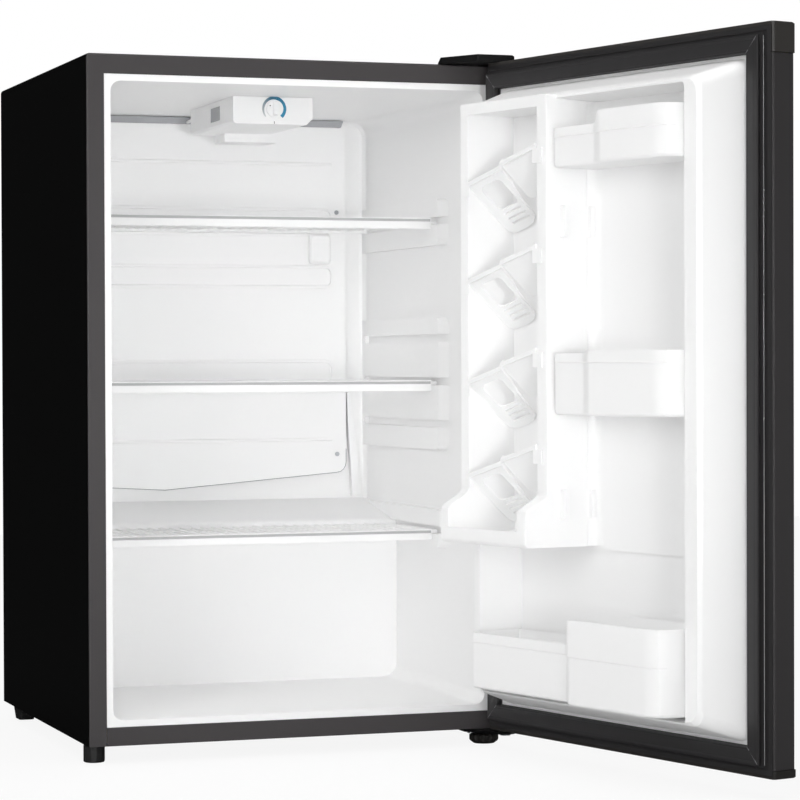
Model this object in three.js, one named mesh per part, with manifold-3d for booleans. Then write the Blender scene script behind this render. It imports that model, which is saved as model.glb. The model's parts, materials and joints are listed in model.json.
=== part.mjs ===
// Compact all-refrigerator: foamed steel cabinet, moulded liner, wire shelves,
// and a right-hinged door, standing open.
// Millimetres. X runs from the left side to the hinge side, Y from the door to the back, Z up.
// The origin is on the floor, under the middle of the front left foot.
import * as THREE from 'three';
import { mergeVertices } from 'three/addons/utils/BufferGeometryUtils.js';
import Module from 'manifold-3d';

const wasm = await Module();
wasm.setup();

// Cabinet
const cabinetWidth = 525;
const cabinetDepth = 496;
const cabinetHeight = 812;
const footHeight = 21; // floor to underside of the cabinet
const steel = 1; // cabinet and door sheet
const seat = 0.3; // gap between pieces that touch
const sliver = 0.02; // facets thinner than this are merged
const foldRadius = 3; // folded front edge of the cabinet
const sideStrip = 21.5; // front frame at the sides
const topStrip = 23.5;
const railHeight = 21.8;
const railDepth = 20;
const rearFlange = 14;

// Liner: inner faces of the compartment
const linerWall = 2;
const linerLip = 7.9; // white lip round the opening
const linerFront = 0.6; // face of the lip behind the front of the frame
const linerTongue = 8; // part of the lip that grips behind the frame
const linerBack = cabinetDepth - 59;
const linerDraft = 4.5; // lean of each wall from front to back
const frontCorner = 12;
const backCorner = 22;
const backEdge = 12;
const humpFront = linerBack - 120; // step over the compressor
const humpTop = 243;
const humpRise = 22;
const stepEdge = 9;
const bayFoam = 38; // foam between the step and the compressor bay
const padFront = 118;
const padFace = 40; // side of the cabinet to the face of a pad
const padCorner = 12;
const grooveHeight = 10;
// Shelves
const shelfFront = 150;
const shelfBack = linerBack - 16;
const halfShelfBack = humpFront - 9;
const bottomShelfLevel = humpTop - 7; // centre of its wires
const middleShelfLevel = bottomShelfLevel + 189;
const topShelfLevel = middleShelfLevel + 204;
const spareGrooves = [middleShelfLevel + 55, middleShelfLevel - 54]; // hold no shelf
const pads = [
  { level: topShelfLevel, below: 31, above: 27 },
  { level: middleShelfLevel, below: 87, above: 81 },
  { level: bottomShelfLevel, below: 22, above: 26 },
];
const rodRadius = 2.5;
const wireRadius = 1.2;
const braceDrop = 0.7; // middle rod: thinner than the others and lower
const wirePitch = 14;
const trimHeight = 10;
const trimWall = 2;
const shelfPlay = 0.8; // rear of a shelf to the end of its groove
const sideRod = 2.9; // centre of the side rod past the face of the pad

// Evaporator plate
const plateBottom = 300;
const plateTop = cabinetHeight - topStrip - 20.5;
const plateRight = cabinetWidth - 66;
const plateWall = 1.5;
const plateStandoff = 7;
const plateCorner = 14;
const plateDrip = 20; // lowest point of the lower edge under its right end
const plateDripX = 205;
const screwLevels = [plateTop - 115, plateBottom + 25];
const screwFromEdge = 13;
const screwRadius = 2;
const screwHead = 3;
const bossRadius = 6;
const channelRuns = [0.893, 0.761, 0.688, 0.596, 0.538, 0.323, 0.254, 0.096]; // shares of the plate's height
const channelFromEdge = 20;
const channelRadius = 2.4;
const tubeCoverLow = plateBottom - 32;
const tubeCoverTop = plateBottom + 109;
const capillaryRadius = 2;
const bulbRadius = 2.8;
const bulbRight = plateRight - 23;
const bulbLeft = bulbRight - 30;
const bulbTop = plateTop - 145;
const bulbBottom = bulbTop - 40;

// Thermostat housing
const hoodLeft = 217;
const hoodRight = 320;
const hoodFront = 135;
const hoodLength = 200;
const hoodDrop = 35;
const hoodWall = 2;
const hoodStep = 11; // lower box at the rear of the housing
const hoodStepLeft = 250;
const hoodStepLength = 45;
const lampFront = hoodFront + 60;
const lampBack = lampFront + 45;
const lampTop = cabinetHeight - topStrip - 16.5;
const lampLow = lampTop - 18;
const knobRadius = 12.5;
const knobDepth = 9;
const knobFromLeft = 53;
const knobDrop = 16;
const spindleRadius = 3;

// Door, measured from its pivot: u towards the free side, v towards the cabinet when closed
const doorBottom = 1.5; // underside of the door over the underside of the cabinet
const doorTop = cabinetHeight + 0.5;
const panThickness = 31;
const doorGap = 12; // pan to cabinet
const pivotFromSide = 12.9;
const pivotFromPan = 14.8;
const openAngle = 104.3;
const topCapHeight = 33;
const bottomCapHeight = 9;
const capProud = 1.2;
const gasketInset = 12; // door edge to the sealing face
const gasketWidth = 19;
const gasketEnd = 14.5; // the same at the top and bottom
const doorFlange = 14;
const skinLap = 2; // door liner over the edge of the skin
const gasketSkirt = 1.3; // gasket round the edge of the door liner
const dikeFoot = 32; // door edge to the foot of the dike
const dikeEnd = 36; // the same at the top and bottom
const dikeDraft = 20;
const dikeDepth = 60;
const pocketHinge = 53; // inner walls of the dike
const pocketFree = cabinetWidth - 88;
const pocketBottom = 58;
const pocketTop = doorTop - 61.5;
const pocketDraft = 3;
const pocketCorner = 5;
const capWall = 2.5;
const bushRadius = 6;
const bushBoss = 9;
const bushLength = 13;
const panelDepth = 6; // upper panel over the pan
const lowerPanelDepth = 1;
const doorLinerWall = 2;

// Can column on the hinge side of the door liner
const columnLeft = 49;
const columnRight = 187;
const columnRim = 14;
const columnTopDepth = 73; // over the pan
const trayDepth = 103;
const columnBottom = doorTop - 575.5;
const trayTop = columnBottom + 38;
const trayLip = 18;
const traySweep = 24;
const columnTop = doorTop - 57.5;
const channelTop = doorTop - 70.5;
const rackDrops = [151.5, 266.5, 385.5, 496.5]; // door top to the hinge-side end of each rack's lip
const rackTilt = 14; // degrees, rising to the free side
const rackLean = 42; // degrees, falling to the back
const rackWall = 2.5;
const rackSplit = 68;
const rackStep = 4;
const rackLength = 87; // of the long tongue, down its slope
const rackShort = 60;
const rackBead = 1.2; // ribbed grip over the tongue

// Door bins
const binWall = 2;
const binEndGap = 4; // end of an upper bin to the wall of the pocket
const binPanelGap = 0.3;
const binLipProud = 1.2; // rim band over the wall below it
const binCorner = 26; // front corner at the free end
const binStep = 14; // half the length of the step in the front
const upperBin = { start: columnRight + 27, end: pocketFree - binEndGap, depth: 65, bulge: 10 };
// lip, rim and raise: underside to the band, band to the rim, and rim to the guard on the free side
const bins = [
  {
    ...upperBin,
    name: 'door_bin_top',
    bottom: doorTop - 142.5,
    lip: 34,
    rim: 45,
    raise: 13.5,
    split: columnRight + 117,
  },
  {
    ...upperBin,
    name: 'door_bin_middle',
    bottom: doorTop - 423.5,
    lip: 59,
    rim: 70,
    raise: 3,
    split: columnRight + 96,
  },
  {
    name: 'door_bin_bottom', start: pocketHinge + 5.5, end: pocketFree - 5.5, split: pocketHinge + 207,
    bottom: pocketBottom + 6, lip: 54, rim: 66, raise: 30, depth: 72, bulge: 15,
  },
];
const ribRear = 27; // ribs that the bins hang on
const ribFront = 64;
const ribWidth = 6;
const ribReach = 3;
const ribRise = 10; // above the underside of the bin
const ribHeight = 14;
const spareRibs = [{ drop: 220.5, height: 36 }, { drop: 542.5, height: 33 }]; // from the door top

// Feet and hinges
const footRadius = 13;
const footFromSide = 12.6;
const footFromFront = 28;
const levellerRadius = 18;
const levellerHeight = 12;
const levellerRibs = 14;
const studRadius = 4;
const pinRadius = 4;
const hingePlate = 3;
const studTop = 12;
const hingeSheet = 2.2;
const hingeLift = 0.5; // hinge plate over the door
const plateInner = cabinetWidth - 70;
const coverInner = cabinetWidth - 84;
const coverBack = 52;
const coverTop = cabinetHeight + 7;
const coverWall = 1.4;
const bracketInner = cabinetWidth - 55;
const hingeBack = 44;
const pinEnd = doorTop - 10.5;
const hingeScrews = [12, 34].map((y) => [cabinetWidth - 43, y]);
const rearFootLength = 34;
const rearFootWidth = 26;
const rearFootFromSide = 22;
const rearFootDepth = cabinetDepth - 30;

// Refrigeration in the bay and behind the liner
const pipeRadius = 3;
const bendSteps = 4;
const coilStart = cabinetWidth - 95;
const coilEnd = cabinetWidth - 275;
const coilLegs = 4;
const coilTop = cabinetHeight - 122;
const coilLow = humpTop + 19;
const coilBend = 26;
const coilTail = 14;
const coilDepth = cabinetDepth - 5;
const compressorX = cabinetWidth - 185;
const compressorY = cabinetDepth - 72;
const compressorRadius = 54;
const compressorPlate = 2;
const canBottom = 11;
const canSeam = 86;
const canTop = 150;
const bracketBottom = 8;
const bracketHalf = 66;
const bracketDepth = 56;
const grommetWaist = 5;
const dischargePort = 60;
const suctionPort = 112;
const suctionX = plateRight + 14;
const suctionY = cabinetDepth - 30;
const suctionZ = plateBottom - 16;
const glandX = 200;
const glandHeight = 23;

const pivotX = cabinetWidth - pivotFromSide;
const pivotY = -doorGap - pivotFromPan;
const openingLeft = sideStrip + linerLip;
const openingRight = cabinetWidth - openingLeft;
const openingTop = cabinetHeight - topStrip - linerLip;
const openingBottom = railHeight + linerLip + seat;
const plateScrews = screwLevels.flatMap((z) => {
  const x = plateRight - screwFromEdge;
  return [[x, z], [cabinetWidth - x, z]];
});
const channelRight = plateRight - channelFromEdge;
const knobX = hoodLeft + knobFromLeft;
const knobZ = openingTop - knobDrop;
const footPlaces = [
  [footFromSide, footFromFront],
  [cabinetWidth - levellerRadius - 2, footFromFront],
  [rearFootFromSide, rearFootDepth],
  [cabinetWidth - rearFootFromSide, rearFootDepth],
];
const grommetPlaces = [-1, 1].flatMap((side) => [-1, 1].map((end) => [
  compressorX + side * (bracketHalf - 11), compressorY + end * (bracketDepth - 11),
]));
const glandFace = cabinetDepth - steel - seat - 4;

// ---- solids

function solidOf(geometry) {
  const bare = geometry.clone();
  bare.deleteAttribute('normal');
  bare.deleteAttribute('uv');
  const merged = mergeVertices(bare, 1e-4);
  const vertProperties = Float32Array.from(merged.attributes.position.array);
  const triVerts = Uint32Array.from(merged.index.array);
  const solid = new wasm.Manifold(new wasm.Mesh({ numProp: 3, vertProperties, triVerts }));
  if (solid.volume() > 0) return solid;
  for (let i = 0; i < triVerts.length; i += 3) triVerts.subarray(i, i + 2).reverse();
  return new wasm.Manifold(new wasm.Mesh({ numProp: 3, vertProperties, triVerts }));
}

function geometryOf(solid) {
  const mesh = solid.simplify(sliver).getMesh();
  const geometry = new THREE.BufferGeometry();
  geometry.setAttribute('position', new THREE.BufferAttribute(Float32Array.from(mesh.vertProperties), 3));
  geometry.setIndex(Array.from(mesh.triVerts));
  geometry.computeVertexNormals();
  return geometry;
}

const along = {
  z: (depth, from) => new THREE.Matrix4().makeTranslation(0, 0, from),
  y: (depth, from) => new THREE.Matrix4().makeTranslation(0, from + depth, 0)
    .multiply(new THREE.Matrix4().makeRotationX(Math.PI / 2)),
  x: (depth, from) => new THREE.Matrix4().makeTranslation(from, 0, 0)
    .multiply(new THREE.Matrix4().makeBasis(
      new THREE.Vector3(0, 1, 0), new THREE.Vector3(0, 0, 1), new THREE.Vector3(1, 0, 0))),
};

// A shape drawn in XY, XZ or YZ, run along the remaining axis
function prism(axis, shape, from, to, curveSegments = 4) {
  const depth = to - from;
  const geometry = new THREE.ExtrudeGeometry(shape, { depth, bevelEnabled: false, curveSegments });
  return solidOf(geometry.applyMatrix4(along[axis](depth, from)));
}

function box(x0, x1, y0, y1, z0, z1) {
  const geometry = new THREE.BoxGeometry(x1 - x0, y1 - y0, z1 - z0);
  return solidOf(geometry.translate((x0 + x1) / 2, (y0 + y1) / 2, (z0 + z1) / 2));
}

function disc(axis, a, b, radius, from, to, sides = 24) {
  const shape = new THREE.Shape();
  for (let i = 0; i < sides; i += 1) {
    const angle = (i / sides) * 2 * Math.PI;
    const x = a + radius * Math.cos(angle);
    const y = b + radius * Math.sin(angle);
    if (i === 0) shape.moveTo(x, y);
    else shape.lineTo(x, y);
  }
  shape.closePath();
  return prism(axis, shape, from, to);
}

function turned(profile, sides) {
  const points = profile.map(([radius, height]) => new THREE.Vector2(radius, height));
  return solidOf(new THREE.LatheGeometry(points, sides).rotateX(Math.PI / 2));
}

function polygon(points) {
  return new THREE.Shape(points.map(([a, b]) => new THREE.Vector2(a, b)));
}

function roundedRect(a0, a1, b0, b1, radius) {
  const shape = new THREE.Shape();
  shape.moveTo(a0 + radius, b0);
  shape.lineTo(a1 - radius, b0);
  shape.absarc(a1 - radius, b0 + radius, radius, -Math.PI / 2, 0);
  shape.lineTo(a1, b1 - radius);
  shape.absarc(a1 - radius, b1 - radius, radius, 0, Math.PI / 2);
  shape.lineTo(a0 + radius, b1);
  shape.absarc(a0 + radius, b1 - radius, radius, Math.PI / 2, Math.PI);
  shape.lineTo(a0, b0 + radius);
  shape.absarc(a0 + radius, b0 + radius, radius, Math.PI, 1.5 * Math.PI);
  return shape;
}

// Skin between loops of equal length, closed by flat ends
function loft(loops) {
  const count = loops[0].length;
  const positions = loops.flat().flatMap((point) => [point.x, point.y, point.z]);
  const indices = [];
  for (let ring = 0; ring < loops.length - 1; ring += 1) {
    for (let i = 0; i < count; i += 1) {
      const a = ring * count + i;
      const b = ring * count + (i + 1) % count;
      indices.push(a, b, b + count, a, b + count, a + count);
    }
  }
  const last = (loops.length - 1) * count;
  for (let i = 1; i < count - 1; i += 1) {
    indices.push(0, i + 1, i);
    indices.push(last, last + i, last + i + 1);
  }
  const geometry = new THREE.BufferGeometry();
  geometry.setAttribute('position', new THREE.Float32BufferAttribute(positions, 3));
  geometry.setIndex(indices);
  return solidOf(geometry);
}

// Tube along straight runs joined by bends of one size
function pipe(corners, radius, bend, sides = 6) {
  const points = corners.map((corner) => new THREE.Vector3(...corner));
  const stations = [[points[0], points[1].clone().sub(points[0])]];
  for (let i = 1; i < points.length - 1; i += 1) {
    const [before, after] = [i - 1, i + 1].map((next) => (
      points[i].clone().lerp(points[next], bend / points[i].distanceTo(points[next]))));
    const curve = new THREE.QuadraticBezierCurve3(before, points[i], after);
    for (let part = 0; part <= bendSteps; part += 1) {
      stations.push([curve.getPoint(part / bendSteps), curve.getTangent(part / bendSteps)]);
    }
  }
  stations.push([points.at(-1), points.at(-1).clone().sub(points.at(-2))]);
  const side = new THREE.Vector3(0.3, 0.5, 0.8).cross(stations[0][1]).normalize();
  let heading = stations[0][1].normalize();
  return loft(stations.map(([centre, tangent]) => {
    const next = tangent.clone().normalize();
    side.applyQuaternion(new THREE.Quaternion().setFromUnitVectors(heading, next)).normalize();
    heading = next;
    return Array.from({ length: sides }, (_, i) => side.clone()
      .applyAxisAngle(heading, (i / sides) * 2 * Math.PI).multiplyScalar(radius).add(centre));
  }));
}

function joined(solids) {
  return solids.reduce((whole, next) => whole.add(next));
}

// ---- finishes

function finish(color, roughness, metalness = 0) {
  return new THREE.MeshStandardMaterial({ color, roughness, metalness });
}

const blackPaint = finish('#101012', 0.45, 0.2);
const framePaint = finish('#454344', 0.5, 0.2);
const blackPlastic = finish('#2c2b2a', 0.5);
const whitePlastic = finish('#eef0f0', 0.35);
const coatedPlate = finish('#f2f4f5', 0.4);
const rubber = finish('#2b2b2c', 0.8);
const foam = finish('#e8d9a8', 0.95);
const zinc = finish('#9a9ca0', 0.4, 0.9);
const copper = finish('#b87352', 0.35, 1);
const coatedWire = finish('#f2f3f3', 0.35);
const greyLens = finish('#8d9196', 0.3);

const cabinet = new THREE.Group();
cabinet.position.set(-footFromSide, -footFromFront, footHeight);
const door = new THREE.Group();
door.position.set(pivotX, pivotY, 0);
door.rotation.z = THREE.MathUtils.degToRad(openAngle);
cabinet.add(door);


// ---- cabinet sheet metal

// Rounded rectangle across one axis at a given place along it, for lofting
function loop(axis, at, a0, a1, b0, b1, radius, steps = 4) {
  const corners = [
    [a1 - radius, b0 + radius, -0.5],
    [a1 - radius, b1 - radius, 0],
    [a0 + radius, b1 - radius, 0.5],
    [a0 + radius, b0 + radius, 1],
  ];
  return corners.flatMap(([a, b, turn]) => Array.from({ length: steps + 1 }, (_, i) => {
    const angle = (turn + i / steps / 2) * Math.PI;
    const p = a + radius * Math.cos(angle);
    const q = b + radius * Math.sin(angle);
    if (axis === 'x') return new THREE.Vector3(at, p, q);
    if (axis === 'y') return new THREE.Vector3(p, at, q);
    return new THREE.Vector3(p, q, at);
  }));
}

const topCorner = 4.5;
const insulationBack = cabinetDepth - steel - seat;

function wrapperForm(inset) {
  const rings = [0, 30, 60, 90].map((degrees) => {
    const angle = THREE.MathUtils.degToRad(degrees);
    const depth = foldRadius - (foldRadius - inset) * Math.cos(angle);
    return [depth, foldRadius - (foldRadius - inset) * Math.sin(angle)];
  });
  rings.push([cabinetDepth - inset, inset]);
  const loops = rings.map(([y, side]) => loop(
    'y', y, side, cabinetWidth - side, -60, cabinetHeight - side, topCorner - side, 3));
  return loft(loops);
}

function shellSolid() {
  const sheet = wrapperForm(0)
    .intersect(box(-1, cabinetWidth + 1, -1, cabinetDepth + 1, 0, cabinetHeight + 1))
    .subtract(wrapperForm(steel));
  const mouth = box(sideStrip, cabinetWidth - sideStrip, -1, foldRadius + 2, -1, cabinetHeight - topStrip);
  const rear = box(rearFlange, cabinetWidth - rearFlange, cabinetDepth - 5, cabinetDepth + 1,
    -1, cabinetHeight - rearFlange);
  return sheet.subtract(mouth).subtract(rear);
}

function hingeScrewHoles() {
  return joined(hingeScrews.map(([x, y]) => disc('z', x, y, screwRadius + seat, -9, 10 + seat, 12)));
}

function railSolid() {
  const near = sideStrip + seat;
  const inner = steel + seat;
  return joined([
    box(near, cabinetWidth - near, 0, steel, 0, railHeight),
    box(near, cabinetWidth - near, 0, railDepth, 0, steel),
    box(near, cabinetWidth - near, 0, railDepth, railHeight - steel, railHeight),
    box(inner, cabinetWidth - inner, foldRadius, railDepth, 0, steel),
    box(inner, cabinetWidth - inner, foldRadius, railDepth, railHeight - steel, railHeight),
  ]).subtract(hingeScrewHoles());
}

const bayFront = humpFront + linerWall + bayFoam;
const bayTop = humpTop - linerWall - bayFoam;
const baySlope = humpRise / (linerBack - humpFront);
const bayRear = bayTop + (cabinetDepth - bayFront) * baySlope;

function bayLine(offset, last) {
  return [
    [bayFront - offset, offset],
    [bayFront - offset, bayTop + offset],
    [last, bayTop + offset + (last - bayFront) * baySlope],
  ];
}

function basePanSolid() {
  const start = railDepth + seat;
  const under = bayLine(0, insulationBack);
  const over = bayLine(steel, insulationBack).reverse();
  const profile = polygon([[start, 0], ...under, ...over, [start, steel]]);
  const sheet = prism('x', profile, steel + seat, cabinetWidth - steel - seat);
  return footPlaces.slice(0, 2).reduce(
    (rest, [x, y]) => rest.subtract(disc('z', x, y, studRadius + seat, -1, steel + 1)), sheet)
    .subtract(hingeScrewHoles())
    .subtract(disc('z', suctionX, suctionY, pipeRadius + 1, 0, cabinetHeight))
    .subtract(disc('z', coilStart, coilDepth, pipeRadius + 0.6, 0, cabinetHeight))
    .subtract(disc('z', coilEnd, coilDepth, pipeRadius + 0.6, 0, cabinetHeight));
}

function backPanelSolid() {
  const from = cabinetDepth + seat;
  return prism('y', roundedRect(2, cabinetWidth - 2, bayRear + 2, cabinetHeight - 2, 3), from, from + steel);
}

// ---- compartment

// The hollow of the compartment; grow gives the same form pushed outwards all round
function cavityForm(grow) {
  const lean = (y) => linerDraft * (y / linerBack);
  const rounding = (y) => frontCorner + (backCorner - frontCorner) * (y / linerBack);
  const edge = backEdge + grow;
  const rings = [-6, railDepth].map((y) => [y, lean(y) - grow, rounding(y) + grow]);
  [0, 30, 60, 90].forEach((degrees) => {
    const angle = THREE.MathUtils.degToRad(degrees);
    const y = linerBack + grow - edge + edge * Math.sin(angle);
    const inset = lean(y) - grow + edge * (1 - Math.cos(angle));
    rings.push([y, inset, rounding(y) + grow - edge * (1 - Math.cos(angle))]);
  });
  const hollow = loft(rings.map(([y, inset, radius]) => loop(
    'y', y, openingLeft + inset, openingRight - inset, openingBottom + inset * 0.7,
    openingTop - inset * 0.8, radius, 4)));
  return hollow.subtract(humpForm(grow)).subtract(padForm(grow));
}

function humpForm(grow) {
  const front = humpFront + grow;
  const top = humpTop - grow;
  const far = 600;
  const slope = (run) => top + run * baySlope;
  const profile = polygon([
    [front, -100], [front, top - stepEdge], [front + stepEdge * 0.3, top - stepEdge * 0.3],
    [front + stepEdge, slope(stepEdge)], [far, slope(far - front)], [far, -100],
  ]);
  return prism('x', profile, -10, cabinetWidth + 10);
}

function padForm(grow) {
  const levels = [topShelfLevel, middleShelfLevel, bottomShelfLevel, ...spareGrooves];
  const half = grooveHeight / 2 + grow;
  const blocks = pads.flatMap(({ level, below, above }) => {
    const outline = roundedRect(
      padFront + grow, cabinetDepth + 60, level - below + grow, level + above - grow, padCorner);
    return [
      prism('x', outline, -20, padFace - grow),
      prism('x', outline, cabinetWidth - padFace + grow, cabinetWidth + 20),
    ];
  });
  const grooves = levels.map((level) => box(
    -30, cabinetWidth + 30, 0, shelfBack + rodRadius + shelfPlay + grow, level - half, level + half));
  return joined(blocks).subtract(joined(grooves));
}

function linerSolid() {
  const lipX = sideStrip + seat;
  const tongueX = sideStrip - linerTongue;
  const lipBottom = railHeight + seat;
  const lipTop = cabinetHeight - topStrip - seat;
  const tongueFront = steel + seat;
  const body = joined([
    box(lipX, cabinetWidth - lipX, linerFront, linerFront + linerWall, lipBottom, lipTop),
    box(tongueX, cabinetWidth - tongueX, tongueFront, tongueFront + linerWall,
      lipBottom, lipTop + linerTongue),
    cavityForm(linerWall).intersect(box(0, cabinetWidth, linerFront, cabinetDepth, 0, cabinetHeight)),
  ]);
  const bosses = plateScrews.map(([x, z]) => disc(
    'y', x, z, bossRadius, linerBack - plateStandoff + seat, linerBack + 1, 16));
  const holes = plateScrews.map(([x, z]) => disc(
    'y', x, z, screwRadius + seat, linerBack - plateStandoff - 2, linerBack + 10, 12));
  return body.subtract(cavityForm(0)).add(joined(bosses)).subtract(joined(holes))
    .subtract(disc('y', suctionX, suctionZ, pipeRadius + 0.6, linerBack - 20, linerBack + 20, 16));
}

function foamSolid() {
  const clear = steel + seat;
  const front = steel + seat + linerWall + seat;
  const far = cabinetDepth;
  const under = polygon([
    [-10, clear], [bayFront - clear, clear], [bayFront - clear, bayTop + clear],
    [far + 10, bayTop + clear + (far + 10 - bayFront) * baySlope], [far + 10, -50], [-10, -50],
  ]);
  const block = wrapperForm(clear)
    .intersect(box(0, cabinetWidth, front, insulationBack, 0, cabinetHeight))
    .add(box(rearFlange + seat, cabinetWidth - rearFlange - seat, insulationBack - 5, cabinetDepth,
      bayTop, cabinetHeight - rearFlange - seat));
  const studs = footPlaces.slice(0, 2).map(([x, y]) => disc(
    'z', x, y, studRadius + seat, -1, studTop + seat, 16));
  const screws = plateScrews.map(([x, z]) => disc(
    'y', x, z, screwRadius + seat, linerBack, linerBack + 14, 12));
  return block
    .subtract(cavityForm(linerWall + seat))
    .subtract(prism('x', under, -1, cabinetWidth + 1))
    .subtract(box(-1, cabinetWidth + 1, -1, railDepth + seat, -1, railHeight + seat))
    .subtract(joined(studs))
    .subtract(hingeScrewHoles())
    .subtract(joined(screws))
    .subtract(coilSolid(pipeRadius + seat, 30))
    .subtract(suctionSolid(pipeRadius + seat));
}

// ---- refrigeration

function coilSolid(radius, drop) {
  const pitch = (coilStart - coilEnd) / (coilLegs - 1);
  const points = [[coilStart, coilDepth, bayRear - drop]];
  for (let leg = 0; leg < coilLegs - 1; leg += 1) {
    const x = coilStart - leg * pitch;
    const z = leg % 2 === 0 ? coilTop : coilLow;
    points.push([x, coilDepth, z], [x - pitch, coilDepth, z]);
  }
  points.push([coilEnd, coilDepth, bayRear - drop]);
  return pipe(points, radius, coilBend);
}

function suctionSolid(radius) {
  return pipe([
    [suctionX, linerBack - 3, suctionZ],
    [suctionX, suctionY, suctionZ],
    [suctionX, suctionY, bayTop - 60],
    [compressorX + compressorRadius + 18, compressorY + 10, bayTop - 60],
    [compressorX + compressorRadius + 18, compressorY + 10, suctionPort],
    [compressorX + compressorRadius - 1, compressorY + 10, suctionPort],
  ], radius, 10);
}

function dischargeSolid() {
  return pipe([
    [coilStart, coilDepth, bayRear - coilTail - seat],
    [coilStart, coilDepth, dischargePort],
    [compressorX + 30, coilDepth - 16, dischargePort],
    [compressorX + 30, compressorY + 40, dischargePort],
  ], pipeRadius, 10);
}

function compressorSolid() {
  const body = turned([
    [0, canBottom], [38, canBottom], [compressorRadius - 4, canBottom + 14],
    [compressorRadius, canBottom + 34],
    [compressorRadius, canSeam - 3], [compressorRadius + 4, canSeam - 3], [compressorRadius + 4, canSeam + 3],
    [compressorRadius - 1, canSeam + 3], [compressorRadius - 5, canTop - 26], [40, canTop - 6], [0, canTop],
  ], 24).translate([compressorX, compressorY, 0]);
  const bracket = prism('z', roundedRect(
    compressorX - bracketHalf, compressorX + bracketHalf,
    compressorY - bracketDepth, compressorY + bracketDepth, 9),
  bracketBottom, canBottom + 1);
  const terminals = box(
    compressorX - compressorRadius - 3, compressorX - 20, compressorY - 18, compressorY + 18,
    canSeam + 6, canSeam + 38);
  const holes = grommetPlaces.map(([x, y]) => disc('z', x, y, grommetWaist + seat, 0, canBottom + 5, 16));
  const suctionHole = disc('x', compressorY + 10, suctionPort, pipeRadius + seat, compressorX, compressorX + 90, 12);
  const dischargeHole = disc('y', compressorX + 30, dischargePort, pipeRadius + seat,
    compressorY + 20, compressorY + 90, 12);
  return joined([body, bracket, terminals])
    .subtract(joined([...holes, suctionHole, dischargeHole]));
}

function grommetSolid([x, y]) {
  return turned([
    [3, compressorPlate + seat], [8.5, compressorPlate + seat], [8.5, bracketBottom - seat],
    [grommetWaist, bracketBottom - seat], [grommetWaist, canBottom + 1 + seat], [8.5, canBottom + 1 + seat],
    [7, canBottom + 6], [3, canBottom + 6], [3, compressorPlate + seat],
  ], 10).translate([x, y, 0]);
}

function compressorPlateSolid() {
  const clear = steel + seat;
  return joined([
    box(clear, cabinetWidth - clear, bayFront + 4, insulationBack - 4, 0, compressorPlate),
    box(clear, clear + 2, bayFront + 4, insulationBack - 4, 0, 26),
    box(cabinetWidth - clear - 2, cabinetWidth - clear, bayFront + 4, insulationBack - 4, 0, 26),
    box(clear, cabinetWidth - clear, insulationBack - 6, insulationBack - 4, 0, 12),
  ]);
}

function drierSolid() {
  const top = bayRear - coilTail - seat;
  return turned([
    [0, top - 150], [pipeRadius, top - 150], [pipeRadius, top - 118], [9, top - 108], [9, top - 44],
    [pipeRadius, top - 34], [pipeRadius, top], [0, top],
  ], 12).translate([coilEnd, coilDepth, 0]);
}

function dripTraySolid() {
  const low = canTop + seat;
  const outer = loft([
    loop('z', low, compressorX - 52, compressorX + 52, compressorY - 44, compressorY + 44, 8),
    loop('z', low + 24, compressorX - 60, compressorX + 60, compressorY - 52, compressorY + 52, 10)]);
  const inner = loft([
    loop('z', low + 2, compressorX - 50, compressorX + 50, compressorY - 42, compressorY + 42, 7),
    loop('z', low + 26, compressorX - 58.5, compressorX + 58.5, compressorY - 50.5, compressorY + 50.5, 9)]);
  return outer.subtract(inner);
}

// ---- evaporator plate and thermostat

function plateSolid() {
  const front = linerBack - plateStandoff - plateWall;
  const back = linerBack - plateStandoff;
  const left = cabinetWidth - plateRight;
  const apron = polygon([
    [left + 1, plateBottom + plateCorner], [left + 1, plateBottom - plateDrip + 8],
    [plateDripX, plateBottom - plateDrip], [plateRight - plateCorner, plateBottom],
    [plateRight - plateCorner, plateBottom + plateCorner],
  ]);
  const sheet = prism('y', roundedRect(left, plateRight, plateBottom, plateTop, plateCorner), front, back)
    .add(prism('y', apron, front, back));
  const corners = channelRuns.flatMap((share, i) => {
    const z = plateBottom + (plateTop - plateBottom) * share;
    const ends = [[cabinetWidth - channelRight, front, z], [channelRight, front, z]];
    return i % 2 ? ends : ends.reverse();
  });
  const channel = pipe(corners, channelRadius, 10, 5);
  const holes = plateScrews.map(([x, z]) => disc('y', x, z, screwRadius + seat, front - 4, back + 2, 12));
  return sheet.add(channel).subtract(joined(holes));
}

function plateScrewSolid([x, z]) {
  const head = linerBack - plateStandoff - plateWall - seat;
  return joined([
    disc('y', x, z, screwHead, head - 1.6, head, 14),
    disc('y', x, z, screwRadius, head - 0.2, linerBack + 12, 10),
  ]);
}

function hoodSolid() {
  const back = hoodFront + hoodLength;
  const low = openingTop - hoodDrop;
  const form = (inset) => joined([
    prism('y', polygon([
      [hoodLeft + inset, low + 3 + inset], [hoodLeft + 3 + inset, low + inset],
      [hoodRight - 8 - inset, low + inset], [hoodRight - inset, low + 8 + inset],
      [hoodRight - inset, openingTop + 9], [hoodLeft + inset, openingTop + 9],
    ]), hoodFront + inset, back - inset),
    box(hoodStepLeft + inset, hoodRight - inset, back - hoodStepLength + inset, back - inset,
      low - hoodStep + inset, low + 12),
  ]);
  const shell = form(0).subtract(form(hoodWall));
  const window = box(hoodLeft - 1, hoodLeft + hoodWall + 1, lampFront, lampBack, lampLow, lampTop);
  const bore = disc('y', knobX, knobZ, spindleRadius + 1, hoodFront - 1, hoodFront + hoodWall + 1, 16);
  return shell.intersect(cavityForm(-seat)).subtract(window).subtract(bore);
}

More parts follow.
